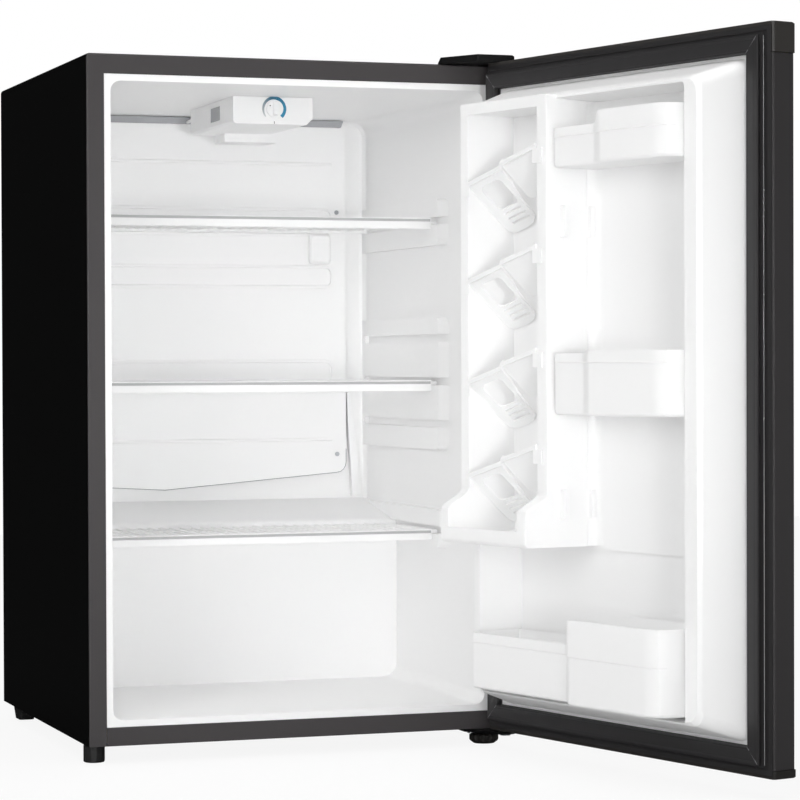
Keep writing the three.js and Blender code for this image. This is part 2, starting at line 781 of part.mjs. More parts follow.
function lampWindowSolid() {
  const face = hoodLeft + 0.6;
  return joined([
    box(face, face + hoodWall, lampFront + seat, lampBack - seat, lampLow + seat, lampTop - seat),
    box(hoodLeft + hoodWall + seat, hoodLeft + hoodWall + 1.8,
      lampFront - 4, lampBack + 4, lampLow - 3, lampTop + 2),
  ]);
}

function thermostatSolid() {
  const back = hoodFront + hoodWall + seat;
  return joined([
    box(knobX - 24, knobX + 24, back, back + 42, knobZ - 12, knobZ + 12),
    disc('y', knobX, knobZ, spindleRadius, hoodFront - knobDepth + 3, back + 1, 16),
  ]);
}

function knobSolid() {
  const back = hoodFront - seat;
  const skirt = turned([
    [0, 0], [knobRadius, 0], [knobRadius, 2], [knobRadius - 1.5, 4], [0, 4],
  ], 40);
  const grip = prism('x', polygon([[-knobRadius + 3, 3], [-knobRadius + 5, knobDepth],
    [knobRadius - 5, knobDepth], [knobRadius - 3, 3]]), -2.6, 2.6);
  const marker = box(-0.6, 0.6, knobRadius - 8, knobRadius - 5, knobDepth - 1, knobDepth + 0.4);
  const socket = disc('z', 0, 0, spindleRadius + 0.05, -1, knobDepth - 3 + seat * 2, 16);
  return joined([skirt, grip, marker]).subtract(socket)
    .rotate([90, 0, 0]).translate([knobX, back, knobZ]);
}

function capillarySolid() {
  const rear = hoodFront + hoodLength;
  const run = linerBack - plateStandoff / 2;
  const level = plateTop + capillaryRadius + 0.6;
  const bulbX = (bulbLeft + bulbRight) / 2;
  const tube = pipe([
    [hoodLeft + 20, rear + seat, level],
    [hoodLeft + 20, run, level],
    [hoodLeft - 6, run, level],
    [hoodLeft - 12, run, plateTop - 30],
    [bulbX, run, plateTop - 70],
    [bulbX, run, bulbTop - 8],
  ], capillaryRadius, 9);
  return joined([tube, disc('z', bulbX, run, bulbRadius, bulbBottom + 3, bulbTop - 6, 12)]);
}

function bulbClipSolid() {
  const back = linerBack - plateStandoff - plateWall - channelRadius - seat;
  return loft([
    loop('y', back, bulbLeft, bulbRight, bulbBottom, bulbTop, 4),
    loop('y', back - 4, bulbLeft, bulbRight, bulbBottom, bulbTop, 4),
    loop('y', back - 7, bulbLeft + 3, bulbRight - 3, bulbBottom + 3, bulbTop - 3, 4),
  ]);
}

function tubeCoverSolid() {
  const waist = plateBottom + 16;
  const form = (inset) => prism('y', polygon([
    [plateRight + 1 + inset, tubeCoverTop - inset * 3], [plateRight + 5 - inset, tubeCoverTop - inset * 3],
    [plateRight + 12 - inset, plateBottom + 56], [plateRight + 17 - inset, waist],
    [plateRight + 21 - inset, tubeCoverLow + inset], [plateRight + 8 + inset, tubeCoverLow + inset],
    [plateRight + 6 + inset, waist], [plateRight + 3 + inset, plateBottom + 56],
  ]), linerBack - 10 + inset, linerBack + inset);
  return form(0).intersect(cavityForm(-seat)).subtract(form(1.4));
}

// ---- shelves

function shelfSolid(level, back) {
  const side = cabinetWidth - padFace + sideRod;
  const near = cabinetWidth - side;
  const rod = level - grooveHeight / 2 + seat + rodRadius;
  const front = shelfFront + trimWall / 2;
  const wires = [];
  const count = Math.floor((side - near - 2 * wirePitch) / wirePitch);
  const first = (cabinetWidth - (count - 1) * wirePitch) / 2;
  for (let i = 0; i < count; i += 1) {
    wires.push(disc('y', first + i * wirePitch, rod + rodRadius, wireRadius, front, back - wireRadius, 5));
  }
  const cross = [shelfFront + rodRadius + trimWall / 2, back - rodRadius]
    .map((y) => disc('x', y, rod, rodRadius, near + seat, side - seat, 6));
  const middle = (shelfFront + back) / 2;
  cross.push(disc('x', middle, rod - braceDrop, rodRadius - braceDrop, near + seat, side - seat, 6));
  const sides = [near, side]
    .map((x) => disc('y', x, rod, rodRadius, shelfFront + trimWall, back - wireRadius / 2, 6));
  const trim = prism('x', polygon([
    [shelfFront, level + trimHeight / 2], [shelfFront + 0.6, level + trimHeight / 2 + 1],
    [shelfFront + 5, level + trimHeight / 2 + 1], [shelfFront + 5, level + trimHeight / 2 - 1],
    [shelfFront + trimWall, level + trimHeight / 2 - 1], [shelfFront + trimWall, level - trimHeight / 2],
    [shelfFront, level - trimHeight / 2],
  ]), padFace + 3, cabinetWidth - padFace - 3);
  return joined([joined(wires), joined(cross), joined(sides), trim]);
}

// ---- hinges and feet

function topHingeSolid() {
  const low = doorTop + hingeLift;
  return joined([
    box(plateInner, cabinetWidth - 3, 4, 46, cabinetHeight + seat, low + hingeSheet),
    prism('z', polygon([
      [plateInner + 12, 6], [pivotX - 9, pivotY - 2], [pivotX + 9, pivotY - 2], [cabinetWidth - 3, 6],
    ]), low, low + hingeSheet),
    disc('z', pivotX, pivotY, 9.5, low, low + hingeSheet, 20),
  ]).subtract(disc('z', pivotX, pivotY, pinRadius + seat, low - 1, low + 5, 24));
}

function hingeCoverSolid() {
  const low = doorTop + hingeLift;
  const form = (inset) => joined([
    prism('z', polygon([
      [coverInner + inset, 2], [pivotX - 10 + inset, pivotY - 13 + inset],
      [pivotX + 9 - inset, pivotY - 13 + inset],
      [cabinetWidth - inset, pivotY - 4], [cabinetWidth - inset, coverBack - inset],
      [coverInner + inset, coverBack - inset],
    ]), low - inset * 2, coverTop - inset),
    box(coverInner + inset, cabinetWidth - inset, 4 + inset, coverBack - inset,
      cabinetHeight + seat - inset * 2, coverTop - inset),
  ]);
  return form(0).subtract(form(coverWall));
}

function topPinSolid() {
  const low = doorTop + hingeLift;
  return turned([
    [0, pinEnd], [pinRadius - 1, pinEnd], [pinRadius, pinEnd + 1.5], [pinRadius, low + hingeSheet + seat],
    [7, low + hingeSheet + seat], [7, low + hingeSheet + 1.4], [0, low + hingeSheet + 1.4],
  ], 20).translate([pivotX, pivotY, 0]);
}

function bottomHingeSolid() {
  const plate = prism('z', polygon([
    [bracketInner, hingeBack], [bracketInner, 3], [pivotX - 15, pivotY - 6], [pivotX - 9, pivotY - 13],
    [pivotX + 6, pivotY - 13], [cabinetWidth - 1, pivotY - 5], [cabinetWidth - 1, hingeBack],
  ]), -seat - hingePlate, -seat);
  const [, leveller] = footPlaces;
  return plate
    .subtract(disc('z', pivotX, pivotY, pinRadius + seat, -9, 3, 24))
    .subtract(disc('z', leveller[0], leveller[1], studRadius + seat, -9, 3, 16))
    .subtract(hingeScrewHoles());
}

function bottomPinSolid() {
  const under = -seat * 2 - hingePlate;
  return turned([
    [0, under - 2], [6.5, under - 2], [6.5, under], [pinRadius, under],
    [pinRadius, doorBottom + bushLength - 3], [pinRadius - 1, doorBottom + bushLength - 1.5],
    [0, doorBottom + bushLength - 1.5],
  ], 20).translate([pivotX, pivotY, 0]);
}

function hingeScrewSolid([x, y]) {
  const under = -seat * 2 - hingePlate;
  return turned([
    [0, under - 2.5], [4.5, under - 2.5], [4.5, under], [screwRadius, under], [screwRadius, 8], [0, 9.5],
  ], 12).translate([x, y, 0]);
}

function studSolid([x, y]) {
  return disc('z', x, y, studRadius, -levellerHeight, studTop, 16);
}

function leftFootSolid() {
  const [x, y] = footPlaces[0];
  const body = turned([
    [0, 0], [footRadius - 1.5, 0], [footRadius, 1.5], [footRadius, footHeight - seat], [0, footHeight - seat],
  ], 12).translate([x, y, -footHeight]);
  return body.add(studSolid(footPlaces[0]));
}

function levellerSolid() {
  const [x, y] = footPlaces[1];
  const shape = new THREE.Shape();
  for (let i = 0; i < levellerRibs * 4; i += 1) {
    const angle = (i / levellerRibs / 4) * 2 * Math.PI;
    const radius = levellerRadius - (i % 4 < 2 ? 0 : 1.4);
    shape[i ? 'lineTo' : 'moveTo'](x + radius * Math.cos(angle), y + radius * Math.sin(angle));
  }
  const rim = prism('z', shape, -footHeight, -footHeight + levellerHeight);
  const dish = turned([
    [0, 0], [levellerRadius - 5, 0], [levellerRadius - 1, 3], [levellerRadius + 1, 6],
    [levellerRadius + 1, levellerHeight - 3], [levellerRadius - 2, levellerHeight], [0, levellerHeight],
  ], 24).translate([x, y, -footHeight]);
  return rim.intersect(dish).add(studSolid(footPlaces[1]));
}

function rearFootSolid([x, y]) {
  return loft([
    loop('z', -footHeight, x - rearFootWidth / 2 + 3, x + rearFootWidth / 2 - 3,
      y - rearFootLength / 2 + 3, y + rearFootLength / 2 - 3, 4, 3),
    loop('z', -seat, x - rearFootWidth / 2, x + rearFootWidth / 2,
      y - rearFootLength / 2, y + rearFootLength / 2, 5, 3),
  ]);
}

function glandSolid() {
  return turned([
    [3.5, -5], [9, -5], [9, -seat], [6, -seat], [6, 2 + seat], [8, 2 + seat], [7, 5], [3.5, 5], [3.5, -5],
  ], 16).rotate([-90, 0, 0]).translate([glandX, glandFace, glandHeight]);
}

// ---- door, drawn from the pivot outwards and turned over at the end

const panHinge = -pivotFromSide;
const panFree = cabinetWidth - pivotFromSide;
const panInner = pivotFromPan;
const panOuter = pivotFromPan - panThickness;
const topSeam = doorTop - topCapHeight;
const bottomSeam = doorBottom + bottomCapHeight;

function skinSolid() {
  const from = bottomSeam + seat;
  const to = topSeam - seat;
  const outline = (inset) => roundedRect(panHinge + inset, panFree - inset, panOuter + inset, panInner - inset,
    foldRadius + 0.5 - inset);
  return prism('z', outline(0), from, to)
    .subtract(prism('z', outline(steel), from - 1, to + 1))
    .subtract(box(panHinge + doorFlange, panFree - doorFlange, panInner - 4, panInner + 1,
      doorBottom + gasketEnd + skinLap, to + 1));
}

function capForm(low, high, inset, roundTop) {
  const edge = roundTop ? 1.6 : 0;
  const side = inset - capProud;
  const levels = inset === 0 ? [[low, roundTop ? 0 : 1.2], [low + 1.2, 0], [high - edge, 0], [high, edge]]
    : [[low, 0], [high, 0]];
  return loft(levels.map(([z, more]) => loop('z', z, panHinge + side + more, panFree - side - more,
    panOuter + side + more, panInner - inset, 4)));
}

function topCapSolid() {
  return capForm(topSeam, doorTop, 0, true)
    .subtract(capForm(topSeam - 1, doorTop - capWall, capWall, true))
    .add(disc('z', 0, 0, bushBoss, doorTop - bushLength, doorTop - 0.5, 24))
    .subtract(disc('z', 0, 0, bushRadius + seat, doorTop - bushLength - 5, doorTop + 1, 20));
}

function bottomCapSolid() {
  const corner = prism('y', polygon([
    [panHinge - 9, doorBottom - 1], [panHinge + 5, doorBottom - 1], [panHinge - 9, doorBottom + 9],
  ]), panOuter - 9, panInner + 9);
  return capForm(doorBottom, bottomSeam, 0, false)
    .subtract(capForm(doorBottom + capWall, bottomSeam + 1, capWall, false))
    .subtract(corner)
    .add(disc('z', 0, 0, bushBoss, doorBottom + 0.5, doorBottom + bushLength, 24))
    .subtract(disc('z', 0, 0, bushRadius + seat, doorBottom - 1, doorBottom + bushLength + 1, 20));
}

function topBushSolid() {
  return turned([
    [pinRadius + 0.1, doorTop - bushLength], [bushRadius, doorTop - bushLength], [bushRadius, doorTop],
    [pinRadius + 0.1, doorTop], [pinRadius + 0.1, doorTop - bushLength],
  ], 20);
}

function bottomBushSolid() {
  return turned([
    [pinRadius + 0.1, 0], [8, 0], [8, doorBottom - seat], [bushRadius, doorBottom - seat],
    [bushRadius, doorBottom + bushLength], [pinRadius + 0.1, doorBottom + bushLength], [pinRadius + 0.1, 0],
  ], 20);
}

function gasketSolid() {
  const inset = gasketInset;
  const face = panInner + doorGap - seat;
  const base = panInner + seat * 2 + doorLinerWall;
  const foot = panInner + seat;
  const levels = [
    [foot, -gasketSkirt], [base + 1.6, -gasketSkirt], [base + 2.4, 0], [base + 3, 3],
    [base + 4.6, 3], [base + 5.2, 0], [face - 1, 0], [face, 1],
  ];
  const ring = (pad) => loft(levels.map(([v, waist]) => loop(
    'y', v, panHinge + inset + pad(waist), panFree - inset - pad(waist),
    doorBottom + gasketEnd + pad(waist), doorTop - gasketEnd - pad(waist), 2, 2)));
  const hollow = loft([[foot - 1, 0], ...levels.map(([v, waist]) => [v, Math.max(waist, 0)]), [face + 1, 1]]
    .map(([v, waist]) => loop('y', v, panHinge + inset + gasketWidth - waist, panFree - inset - gasketWidth + waist,
      doorBottom + gasketEnd + gasketWidth - waist, doorTop - gasketEnd - gasketWidth + waist, 1, 2)));
  const liner = box(panHinge + inset, panFree - inset, foot - 1, base, doorBottom + gasketEnd - 0.6,
    doorTop - gasketEnd + 0.6);
  return ring((waist) => waist).subtract(hollow).subtract(liner);
}

// Everything behind the white face of the door liner; inset moves that face inwards all over
function linerForm(inset) {
  const edge = inset > 0 ? 6 : 0;
  const base = panOuter - edge;
  const flange = box(panHinge + gasketInset + 0.6 - edge, panFree - gasketInset - 0.6 + edge, base,
    panInner + seat + doorLinerWall - inset, doorBottom + gasketEnd - edge, doorTop - gasketEnd + edge);
  const top = panInner + dikeDepth - inset;
  const dike = loft([[base, 0], [panInner, 0], [top - 5, dikeDraft - 1.5], [top, dikeDraft + 3]]
    .map(([v, lean]) => loop('y', v, panHinge + dikeFoot + lean + inset, panFree - dikeFoot - lean - inset,
      doorBottom + dikeEnd + lean + inset, doorTop - dikeEnd - lean - inset, 16 - inset, 4)));
  return flange.add(dike).subtract(pocketForm(inset)).add(columnForm(inset)).subtract(channelForm(inset));
}

function pocketForm(grow) {
  const hollow = (floor, high) => loft([
    loop('y', floor - grow, pocketHinge + pocketDraft - grow, pocketFree - pocketDraft + grow,
      pocketBottom + pocketDraft - grow, high - pocketDraft + grow, pocketCorner + grow, 3),
    loop('y', panInner + dikeDepth + 2, pocketHinge - grow, pocketFree + grow,
      pocketBottom - grow, high + grow, pocketCorner + grow, 3),
  ]);
  return hollow(panInner + panelDepth, pocketTop).add(
    hollow(panInner + lowerPanelDepth, columnBottom).intersect(box(
      -99, panFree, panOuter, 200, 0, columnBottom - 4 + grow)));
}

const columnWall = (v) => columnRight + 25 - 9 * ((v - panInner) / trayDepth);

function columnForm(inset) {
  const base = panOuter - inset * 3;
  const rim = panInner + columnTopDepth - inset;
  const tray = panInner + trayDepth - inset;
  const steps = 7;
  const curve = Array.from({ length: steps + 1 }, (_, i) => {
    const swing = (i / steps) * Math.PI;
    return [rim + (tray - rim) * (1 + Math.cos(swing)) / 2, trayTop - inset + (i / steps) * traySweep];
  });
  const side = prism('x', polygon([
    [base, columnBottom + inset], [tray, columnBottom + inset], ...curve,
    [rim, columnTop - inset], [base, columnTop - inset],
  ]), 0, cabinetWidth);
  const far = panInner + trayDepth + 5;
  const plan = prism('z', polygon([
    [columnLeft - columnRim - 2 + inset, base], [columnLeft - columnRim + inset, far],
    [columnWall(far) - inset, far], [columnWall(panInner) - inset, panInner], [columnWall(panInner) - inset, base],
  ]), 0, cabinetHeight);
  return side.intersect(plan);
}

function channelForm(grow) {
  const back = panInner + panelDepth - grow;
  const lip = panInner + trayDepth - 2.5 + grow;
  return prism('x', polygon([
    [back, channelTop + grow], [200, channelTop + grow], [200, columnBottom + trayLip - grow],
    [lip, columnBottom + trayLip - grow], [lip, columnBottom + 4 - grow * 0.9], [back, columnBottom + 12 - grow],
  ]), columnLeft - grow, columnRight + grow);
}

function binRibs() {
  const [upper] = bins;
  const spare = spareRibs.map(({ drop, height }) => (
    { ...upper, low: doorTop - drop, high: doorTop - drop + height }));
  const used = bins.map((bin) => {
    const low = bin.bottom + ribRise;
    return { ...bin, low, high: low + ribHeight };
  });
  return [...spare, ...used].flatMap(({ start, end, low, high }) => [ribRear, ribFront].flatMap((v) => {
    const lean = pocketDraft * (1 - (v - panInner - panelDepth) / (dikeDepth - panelDepth + 2));
    const near = start > columnRight ? columnWall(v) - 1 : pocketHinge + lean - 1;
    return [
      box(near, start + ribReach, v, v + ribWidth, low, high),
      box(end - ribReach, pocketFree - lean + 1, v, v + ribWidth, low, high),
    ];
  }));
}

function doorLinerSolid() {
  return linerForm(0).subtract(linerForm(doorLinerWall)).add(joined(binRibs()));
}

function doorFoamSolid() {
  const skin = steel + seat;
  const cap = capWall + seat;
  const core = joined([
    prism('z', roundedRect(panHinge + skin, panFree - skin, panOuter + skin, panInner - skin, foldRadius - 1),
      bottomSeam + seat, topSeam - seat),
    box(panHinge + doorFlange + seat, panFree - doorFlange - seat, 0, 200, bottomSeam + 9, topSeam - seat),
    box(panHinge + cap, panFree - cap, panOuter + cap, panInner - cap, topSeam - 20, doorTop - cap),
  ]);
  const boss = bushBoss + seat;
  return core.intersect(linerForm(doorLinerWall + seat))
    .subtract(disc('z', 0, 0, boss, doorTop - bushLength - 3, doorTop + 9, 24))
    .subtract(disc('z', 0, 0, boss, 0, doorBottom + bushLength + 3, 24));
}

// Sloping can scoop: a long and a short tongue side by side, tilted down to the hinge side
function rackSolid(level) {
  const rim = panInner + columnTopDepth;
  const run = Math.tan(THREE.MathUtils.degToRad(rackTilt));
  const split = columnLeft + rackSplit;
  const left = columnLeft + seat * 2;
  const right = columnRight - seat * 2;
  const waist = split - 10;
  const tip = rackLength;
  const tongue = new THREE.Shape();
  tongue.moveTo(left, -1.5);
  tongue.lineTo(split, -1.5);
  tongue.bezierCurveTo(split, 30, waist, 36, waist, 56);
  tongue.lineTo(waist, tip - 18);
  tongue.quadraticCurveTo(waist, tip, waist - 24, tip);
  tongue.lineTo(left + 14, tip);
  tongue.quadraticCurveTo(left, tip, left, tip - 14);
  const plate = (outline, low, high, steps) => prism('z', outline, low, high, steps);
  const long = plate(tongue, 0, rackWall, 3)
    .add(plate(roundedRect(left + 13, waist - 3, tip - 31, tip - 7, 6), -rackBead, rackWall / 2, 1))
    .subtract(plate(roundedRect(left + 14, waist - 4, 12, tip - 36, 7), -5, 9, 2))
    .subtract(joined([28, 20, 12].map((back) => box(
      left + 17, waist - 7, tip - back - 3, tip - back, -5, 9))));
  const short = plate(roundedRect(split, right, -9, rackShort, 8), 0, rackWall, 2)
    .subtract(box(split - 9, right + 9, -20, -1.5, -5, 9))
    .add(box(split, split + rackWall, -1.5, rackShort - 8, -rackStep, 1));
  const lip = (u0, u1, lift) => box(u0, u1, rim - 1, rim + 2.4, lift - 5, lift + 0.5);
  const lean = (solid, lift) => solid.rotate([180 + rackLean, 0, 0]).translate([0, rim, lift]);
  const scoop = joined([
    lean(long, 0), lean(short, rackStep), lip(left, split + rackWall, 0), lip(split, right, rackStep),
  ]).warp((point) => {
    point[2] += (point[0] - columnLeft) * run;
  });
  const rise = (right - columnLeft) * run;
  const tabs = [
    box(right - 5, right + 12, rim + seat, rim + 2.4, rise - 18, rise - 1),
    box(left - 9, left + 5, rim + seat, rim + 2.4, -16, -1),
  ];
  return scoop.add(joined(tabs)).translate([0, 0, level]);
}

// Plan of a bin at one height: straight back, stepped front, wide corner at the free end
function binLoop({ start, end, split, depth, bulge }, inset, z) {
  const side = Math.max(inset, 0);
  const back = panInner + panelDepth + binPanelGap + side;
  const [near, far] = [start + side, end - side];
  const low = panInner + panelDepth + depth - inset;
  const high = low + bulge;
  const radius = 8 - inset;
  const shape = new THREE.Shape();
  shape.moveTo(far, back);
  shape.lineTo(far, high - binCorner);
  shape.quadraticCurveTo(far, high, far - binCorner, high);
  shape.lineTo(split + binStep, high);
  shape.bezierCurveTo(split + 2, high, split - 2, low, split - binStep, low);
  shape.lineTo(near + radius, low);
  shape.quadraticCurveTo(near, low, near, low - radius);
  shape.lineTo(near, back);
  return shape.getPoints(4).map(({ x, y }) => new THREE.Vector3(x, y, z));
}

function binSolid(bin) {
  const { start, end, split, bottom } = bin;
  const lip = bottom + bin.lip;
  const rim = bottom + bin.rim;
  const guard = rim + bin.raise;
  const walls = (levels) => loft(levels.map(([z, inset]) => binLoop(bin, inset, z)));
  const outside = walls([
    [bottom, 3.5], [bottom + 1.2, 1.2], [bottom + 4, 0], [lip, 0], [lip + binLipProud, -binLipProud],
    [guard, -binLipProud],
  ]);
  const inside = walls([
    [bottom + binWall, binWall + 3], [bottom + 4, binWall], [lip + binLipProud, binWall],
    [lip + binLipProud * 2, binWall - binLipProud], [guard + 3, binWall - binLipProud],
  ]);
  const sweep = binStep * 0.7;
  const rise = (share) => rim + bin.raise * share;
  const overRim = prism('y', polygon([
    [start - 9, rim], [split - sweep, rim], [split - sweep / 2, rise(0.15)], [split, rise(0.5)],
    [split + sweep / 2, rise(0.85)], [split + sweep, guard], [end + 9, guard], [end + 9, guard + 9],
    [start - 9, guard + 9],
  ]), panInner, panInner + 199);
  const high = bottom + ribRise + ribHeight;
  const ribs = [ribRear, ribFront];
  const posts = ribs.flatMap((v) => [
    box(start, start + ribReach + 3, v - 3, v + ribWidth + 3, bottom + 1, high + 3),
    box(end - ribReach - 3, end, v - 3, v + ribWidth + 3, bottom + 1, high + 3),
  ]);
  const slots = ribs.flatMap((v) => [
    box(start - 9, start + ribReach + seat, v - seat, v + ribWidth + seat, bottom - 1, high + seat),
    box(end - ribReach - seat, end + 9, v - seat, v + ribWidth + seat, bottom - 1, high + seat),
  ]);
  return outside.subtract(inside).subtract(overRim).add(joined(posts)).subtract(joined(slots));
}

// ---- assembly

function place(group, name, solid, material) {
  const mesh = new THREE.Mesh(geometryOf(solid), material);
  mesh.name = name;
  group.add(mesh);
}

function placeOnDoor(name, solid, material) {
  const geometry = geometryOf(solid).scale(-1, 1, 1);
  const index = geometry.index.array;
  for (let i = 0; i < index.length; i += 3) index.subarray(i, i + 2).reverse();
  geometry.computeVertexNormals();
  const mesh = new THREE.Mesh(geometry, material);
  mesh.name = name;
  door.add(mesh);
}

place(cabinet, 'cabinet_shell', shellSolid(), blackPaint);
place(cabinet, 'bottom_rail', railSolid(), framePaint);
place(cabinet, 'back_panel', backPanelSolid(), blackPaint);
place(cabinet, 'base_pan', basePanSolid(), zinc);
place(cabinet, 'inner_liner', linerSolid(), whitePlastic);
place(cabinet, 'cabinet_foam', foamSolid(), foam);

place(cabinet, 'condenser_tube', coilSolid(pipeRadius, coilTail), copper);
place(cabinet, 'compressor', compressorSolid(), blackPaint);
place(cabinet, 'compressor_plate', compressorPlateSolid()
  .add(box(glandX - 15, glandX + 15, glandFace, glandFace + 2, 0, glandHeight + 14))
  .subtract(disc('y', glandX, glandHeight, 6 + seat, glandFace - 3, glandFace + 5, 20)), zinc);
grommetPlaces.forEach((spot, i) => place(cabinet, `compressor_grommet_${i + 1}`, grommetSolid(spot), rubber));
place(cabinet, 'relay_cover', box(
  compressorX - compressorRadius - 31, compressorX - compressorRadius - 3 - seat,
  compressorY - 21, compressorY + 21, canSeam + 3, canSeam + 41), blackPlastic);
place(cabinet, 'filter_drier', drierSolid(), copper);
place(cabinet, 'discharge_tube', dischargeSolid(), copper);
place(cabinet, 'suction_tube', suctionSolid(pipeRadius), copper);
place(cabinet, 'drip_tray', dripTraySolid(), blackPlastic);
place(cabinet, 'cord_gland', glandSolid(), rubber);

place(cabinet, 'evaporator_plate', plateSolid(), coatedPlate);
plateScrews.forEach((spot, i) => place(cabinet, `evaporator_screw_${i + 1}`, plateScrewSolid(spot), zinc));
place(cabinet, 'bulb_clip', bulbClipSolid(), whitePlastic);
place(cabinet, 'tube_cover', tubeCoverSolid(), whitePlastic);
place(cabinet, 'thermostat_housing', hoodSolid(), whitePlastic);
place(cabinet, 'thermostat', thermostatSolid(), whitePlastic);
place(cabinet, 'thermostat_knob', knobSolid(), whitePlastic);
place(cabinet, 'lamp_window', lampWindowSolid(), greyLens);
place(cabinet, 'capillary_tube', capillarySolid(), coatedWire);

place(cabinet, 'shelf_top', shelfSolid(topShelfLevel, shelfBack), coatedWire);
place(cabinet, 'shelf_middle', shelfSolid(middleShelfLevel, shelfBack), coatedWire);
place(cabinet, 'shelf_bottom', shelfSolid(bottomShelfLevel, halfShelfBack), coatedWire);

place(cabinet, 'top_hinge', topHingeSolid(), zinc);
place(cabinet, 'top_hinge_cover', hingeCoverSolid(), blackPlastic);
place(cabinet, 'top_hinge_pin', topPinSolid(), zinc);
place(cabinet, 'bottom_hinge', bottomHingeSolid(), blackPaint);
place(cabinet, 'bottom_hinge_pin', bottomPinSolid(), zinc);
hingeScrews.forEach((spot, i) => place(cabinet, `bottom_hinge_screw_${i + 1}`, hingeScrewSolid(spot), zinc));
place(cabinet, 'front_left_foot', leftFootSolid(), rubber);
place(cabinet, 'front_right_foot', levellerSolid(), blackPlastic);
place(cabinet, 'rear_left_foot', rearFootSolid(footPlaces[2]), rubber);
place(cabinet, 'rear_right_foot', rearFootSolid(footPlaces[3]), rubber);

placeOnDoor('door_skin', skinSolid(), framePaint);
placeOnDoor('door_top_cap', topCapSolid(), blackPlastic);
placeOnDoor('door_bottom_cap', bottomCapSolid(), blackPlastic);
placeOnDoor('door_liner', doorLinerSolid(), whitePlastic);
placeOnDoor('door_foam', doorFoamSolid(), foam);
placeOnDoor('door_gasket', gasketSolid(), rubber);
placeOnDoor('door_bush_top', topBushSolid(), whitePlastic);
placeOnDoor('door_bush_bottom', bottomBushSolid(), whitePlastic);
rackDrops.forEach((drop, i) => placeOnDoor(`can_rack_${i + 1}`, rackSolid(doorTop - drop), whitePlastic));
bins.forEach((bin) => placeOnDoor(bin.name, binSolid(bin), whitePlastic));

const appliance = new THREE.Group();
appliance.name = 'mini_fridge';
appliance.add(cabinet);
export default appliance;
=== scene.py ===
import json
import math

import bmesh
import bpy
from mathutils import Matrix, Vector


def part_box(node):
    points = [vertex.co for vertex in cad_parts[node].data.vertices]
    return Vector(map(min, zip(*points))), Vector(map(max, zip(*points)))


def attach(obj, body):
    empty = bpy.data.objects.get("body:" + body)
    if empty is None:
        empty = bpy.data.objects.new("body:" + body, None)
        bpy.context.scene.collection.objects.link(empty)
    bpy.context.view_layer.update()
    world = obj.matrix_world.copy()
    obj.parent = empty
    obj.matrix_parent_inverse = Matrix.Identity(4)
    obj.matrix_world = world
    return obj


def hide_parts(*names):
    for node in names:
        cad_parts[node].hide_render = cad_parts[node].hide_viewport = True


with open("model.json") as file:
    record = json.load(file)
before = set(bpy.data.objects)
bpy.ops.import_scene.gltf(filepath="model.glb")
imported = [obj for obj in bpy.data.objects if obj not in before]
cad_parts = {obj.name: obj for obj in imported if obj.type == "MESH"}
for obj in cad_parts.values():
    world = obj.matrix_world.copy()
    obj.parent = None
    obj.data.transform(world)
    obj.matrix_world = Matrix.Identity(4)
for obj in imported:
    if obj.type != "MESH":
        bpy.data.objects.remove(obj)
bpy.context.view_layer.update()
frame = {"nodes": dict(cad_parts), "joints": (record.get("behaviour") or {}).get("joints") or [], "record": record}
nodes = frame["nodes"]
bodyOf = {node: body for body, names in frame["record"]["behaviour"]["bodies"].items() for node in names}
slotOf = {part["node"]: part["material_slot"] for part in frame["record"]["subparts"]}
mm = 0.001

# Cabinet shapes are drawn in millimetres from the lower front left corner of its shell
cabinetPlace = Matrix.Translation(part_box("cabinet_shell")[0]) @ Matrix.Scale(mm, 4)
# Door shapes are drawn closed: x runs from the hinge to the free edge, y into the compartment
doorHinge = next(joint for joint in frame["joints"] if joint["name"] == "door_hinge")
doorTurn = math.radians(doorHinge["range_deg"][0])
doorPlace = Matrix.Translation(doorHinge["pos_m"]) @ Matrix((
    (-math.cos(doorTurn), math.sin(doorTurn), 0),
    (math.sin(doorTurn), math.cos(doorTurn), 0),
    (0, 0, 1))).to_4x4() @ Matrix.Scale(mm, 4)


def toLinear(hexColour):
    channels = [int(hexColour[i:i + 2], 16) / 255 for i in (1, 3, 5)]
    return [c / 12.92 if c <= 0.04045 else ((c + 0.055) / 1.055) ** 2.4 for c in channels] + [1]


def addNode(tree, kind, settings=None, values=None, links=None):
    node = tree.nodes.new(kind)
    for name, value in (settings or {}).items():
        setattr(node, name, value)
    for name, value in (values or {}).items():
        node.inputs[name].default_value = value
    for name, source in (links or {}).items():
        tree.links.new(source, node.inputs[name])
    return node


def newMaterial(name, colour, roughness, grain, metallic=0.0, ior=1.5, specular=0.5):
    material = bpy.data.materials.new(name)
    material.use_nodes = True
    shader = material.node_tree.nodes["Principled BSDF"]
    shader.inputs["Base Color"].default_value = toLinear(colour)
    shader.inputs["Roughness"].default_value = roughness
    shader.inputs["Metallic"].default_value = metallic
    shader.inputs["Specular IOR Level"].default_value = specular
    if metallic == 0:
        shader.inputs["IOR"].default_value = ior
    addGrain(material, *grain)
    return material


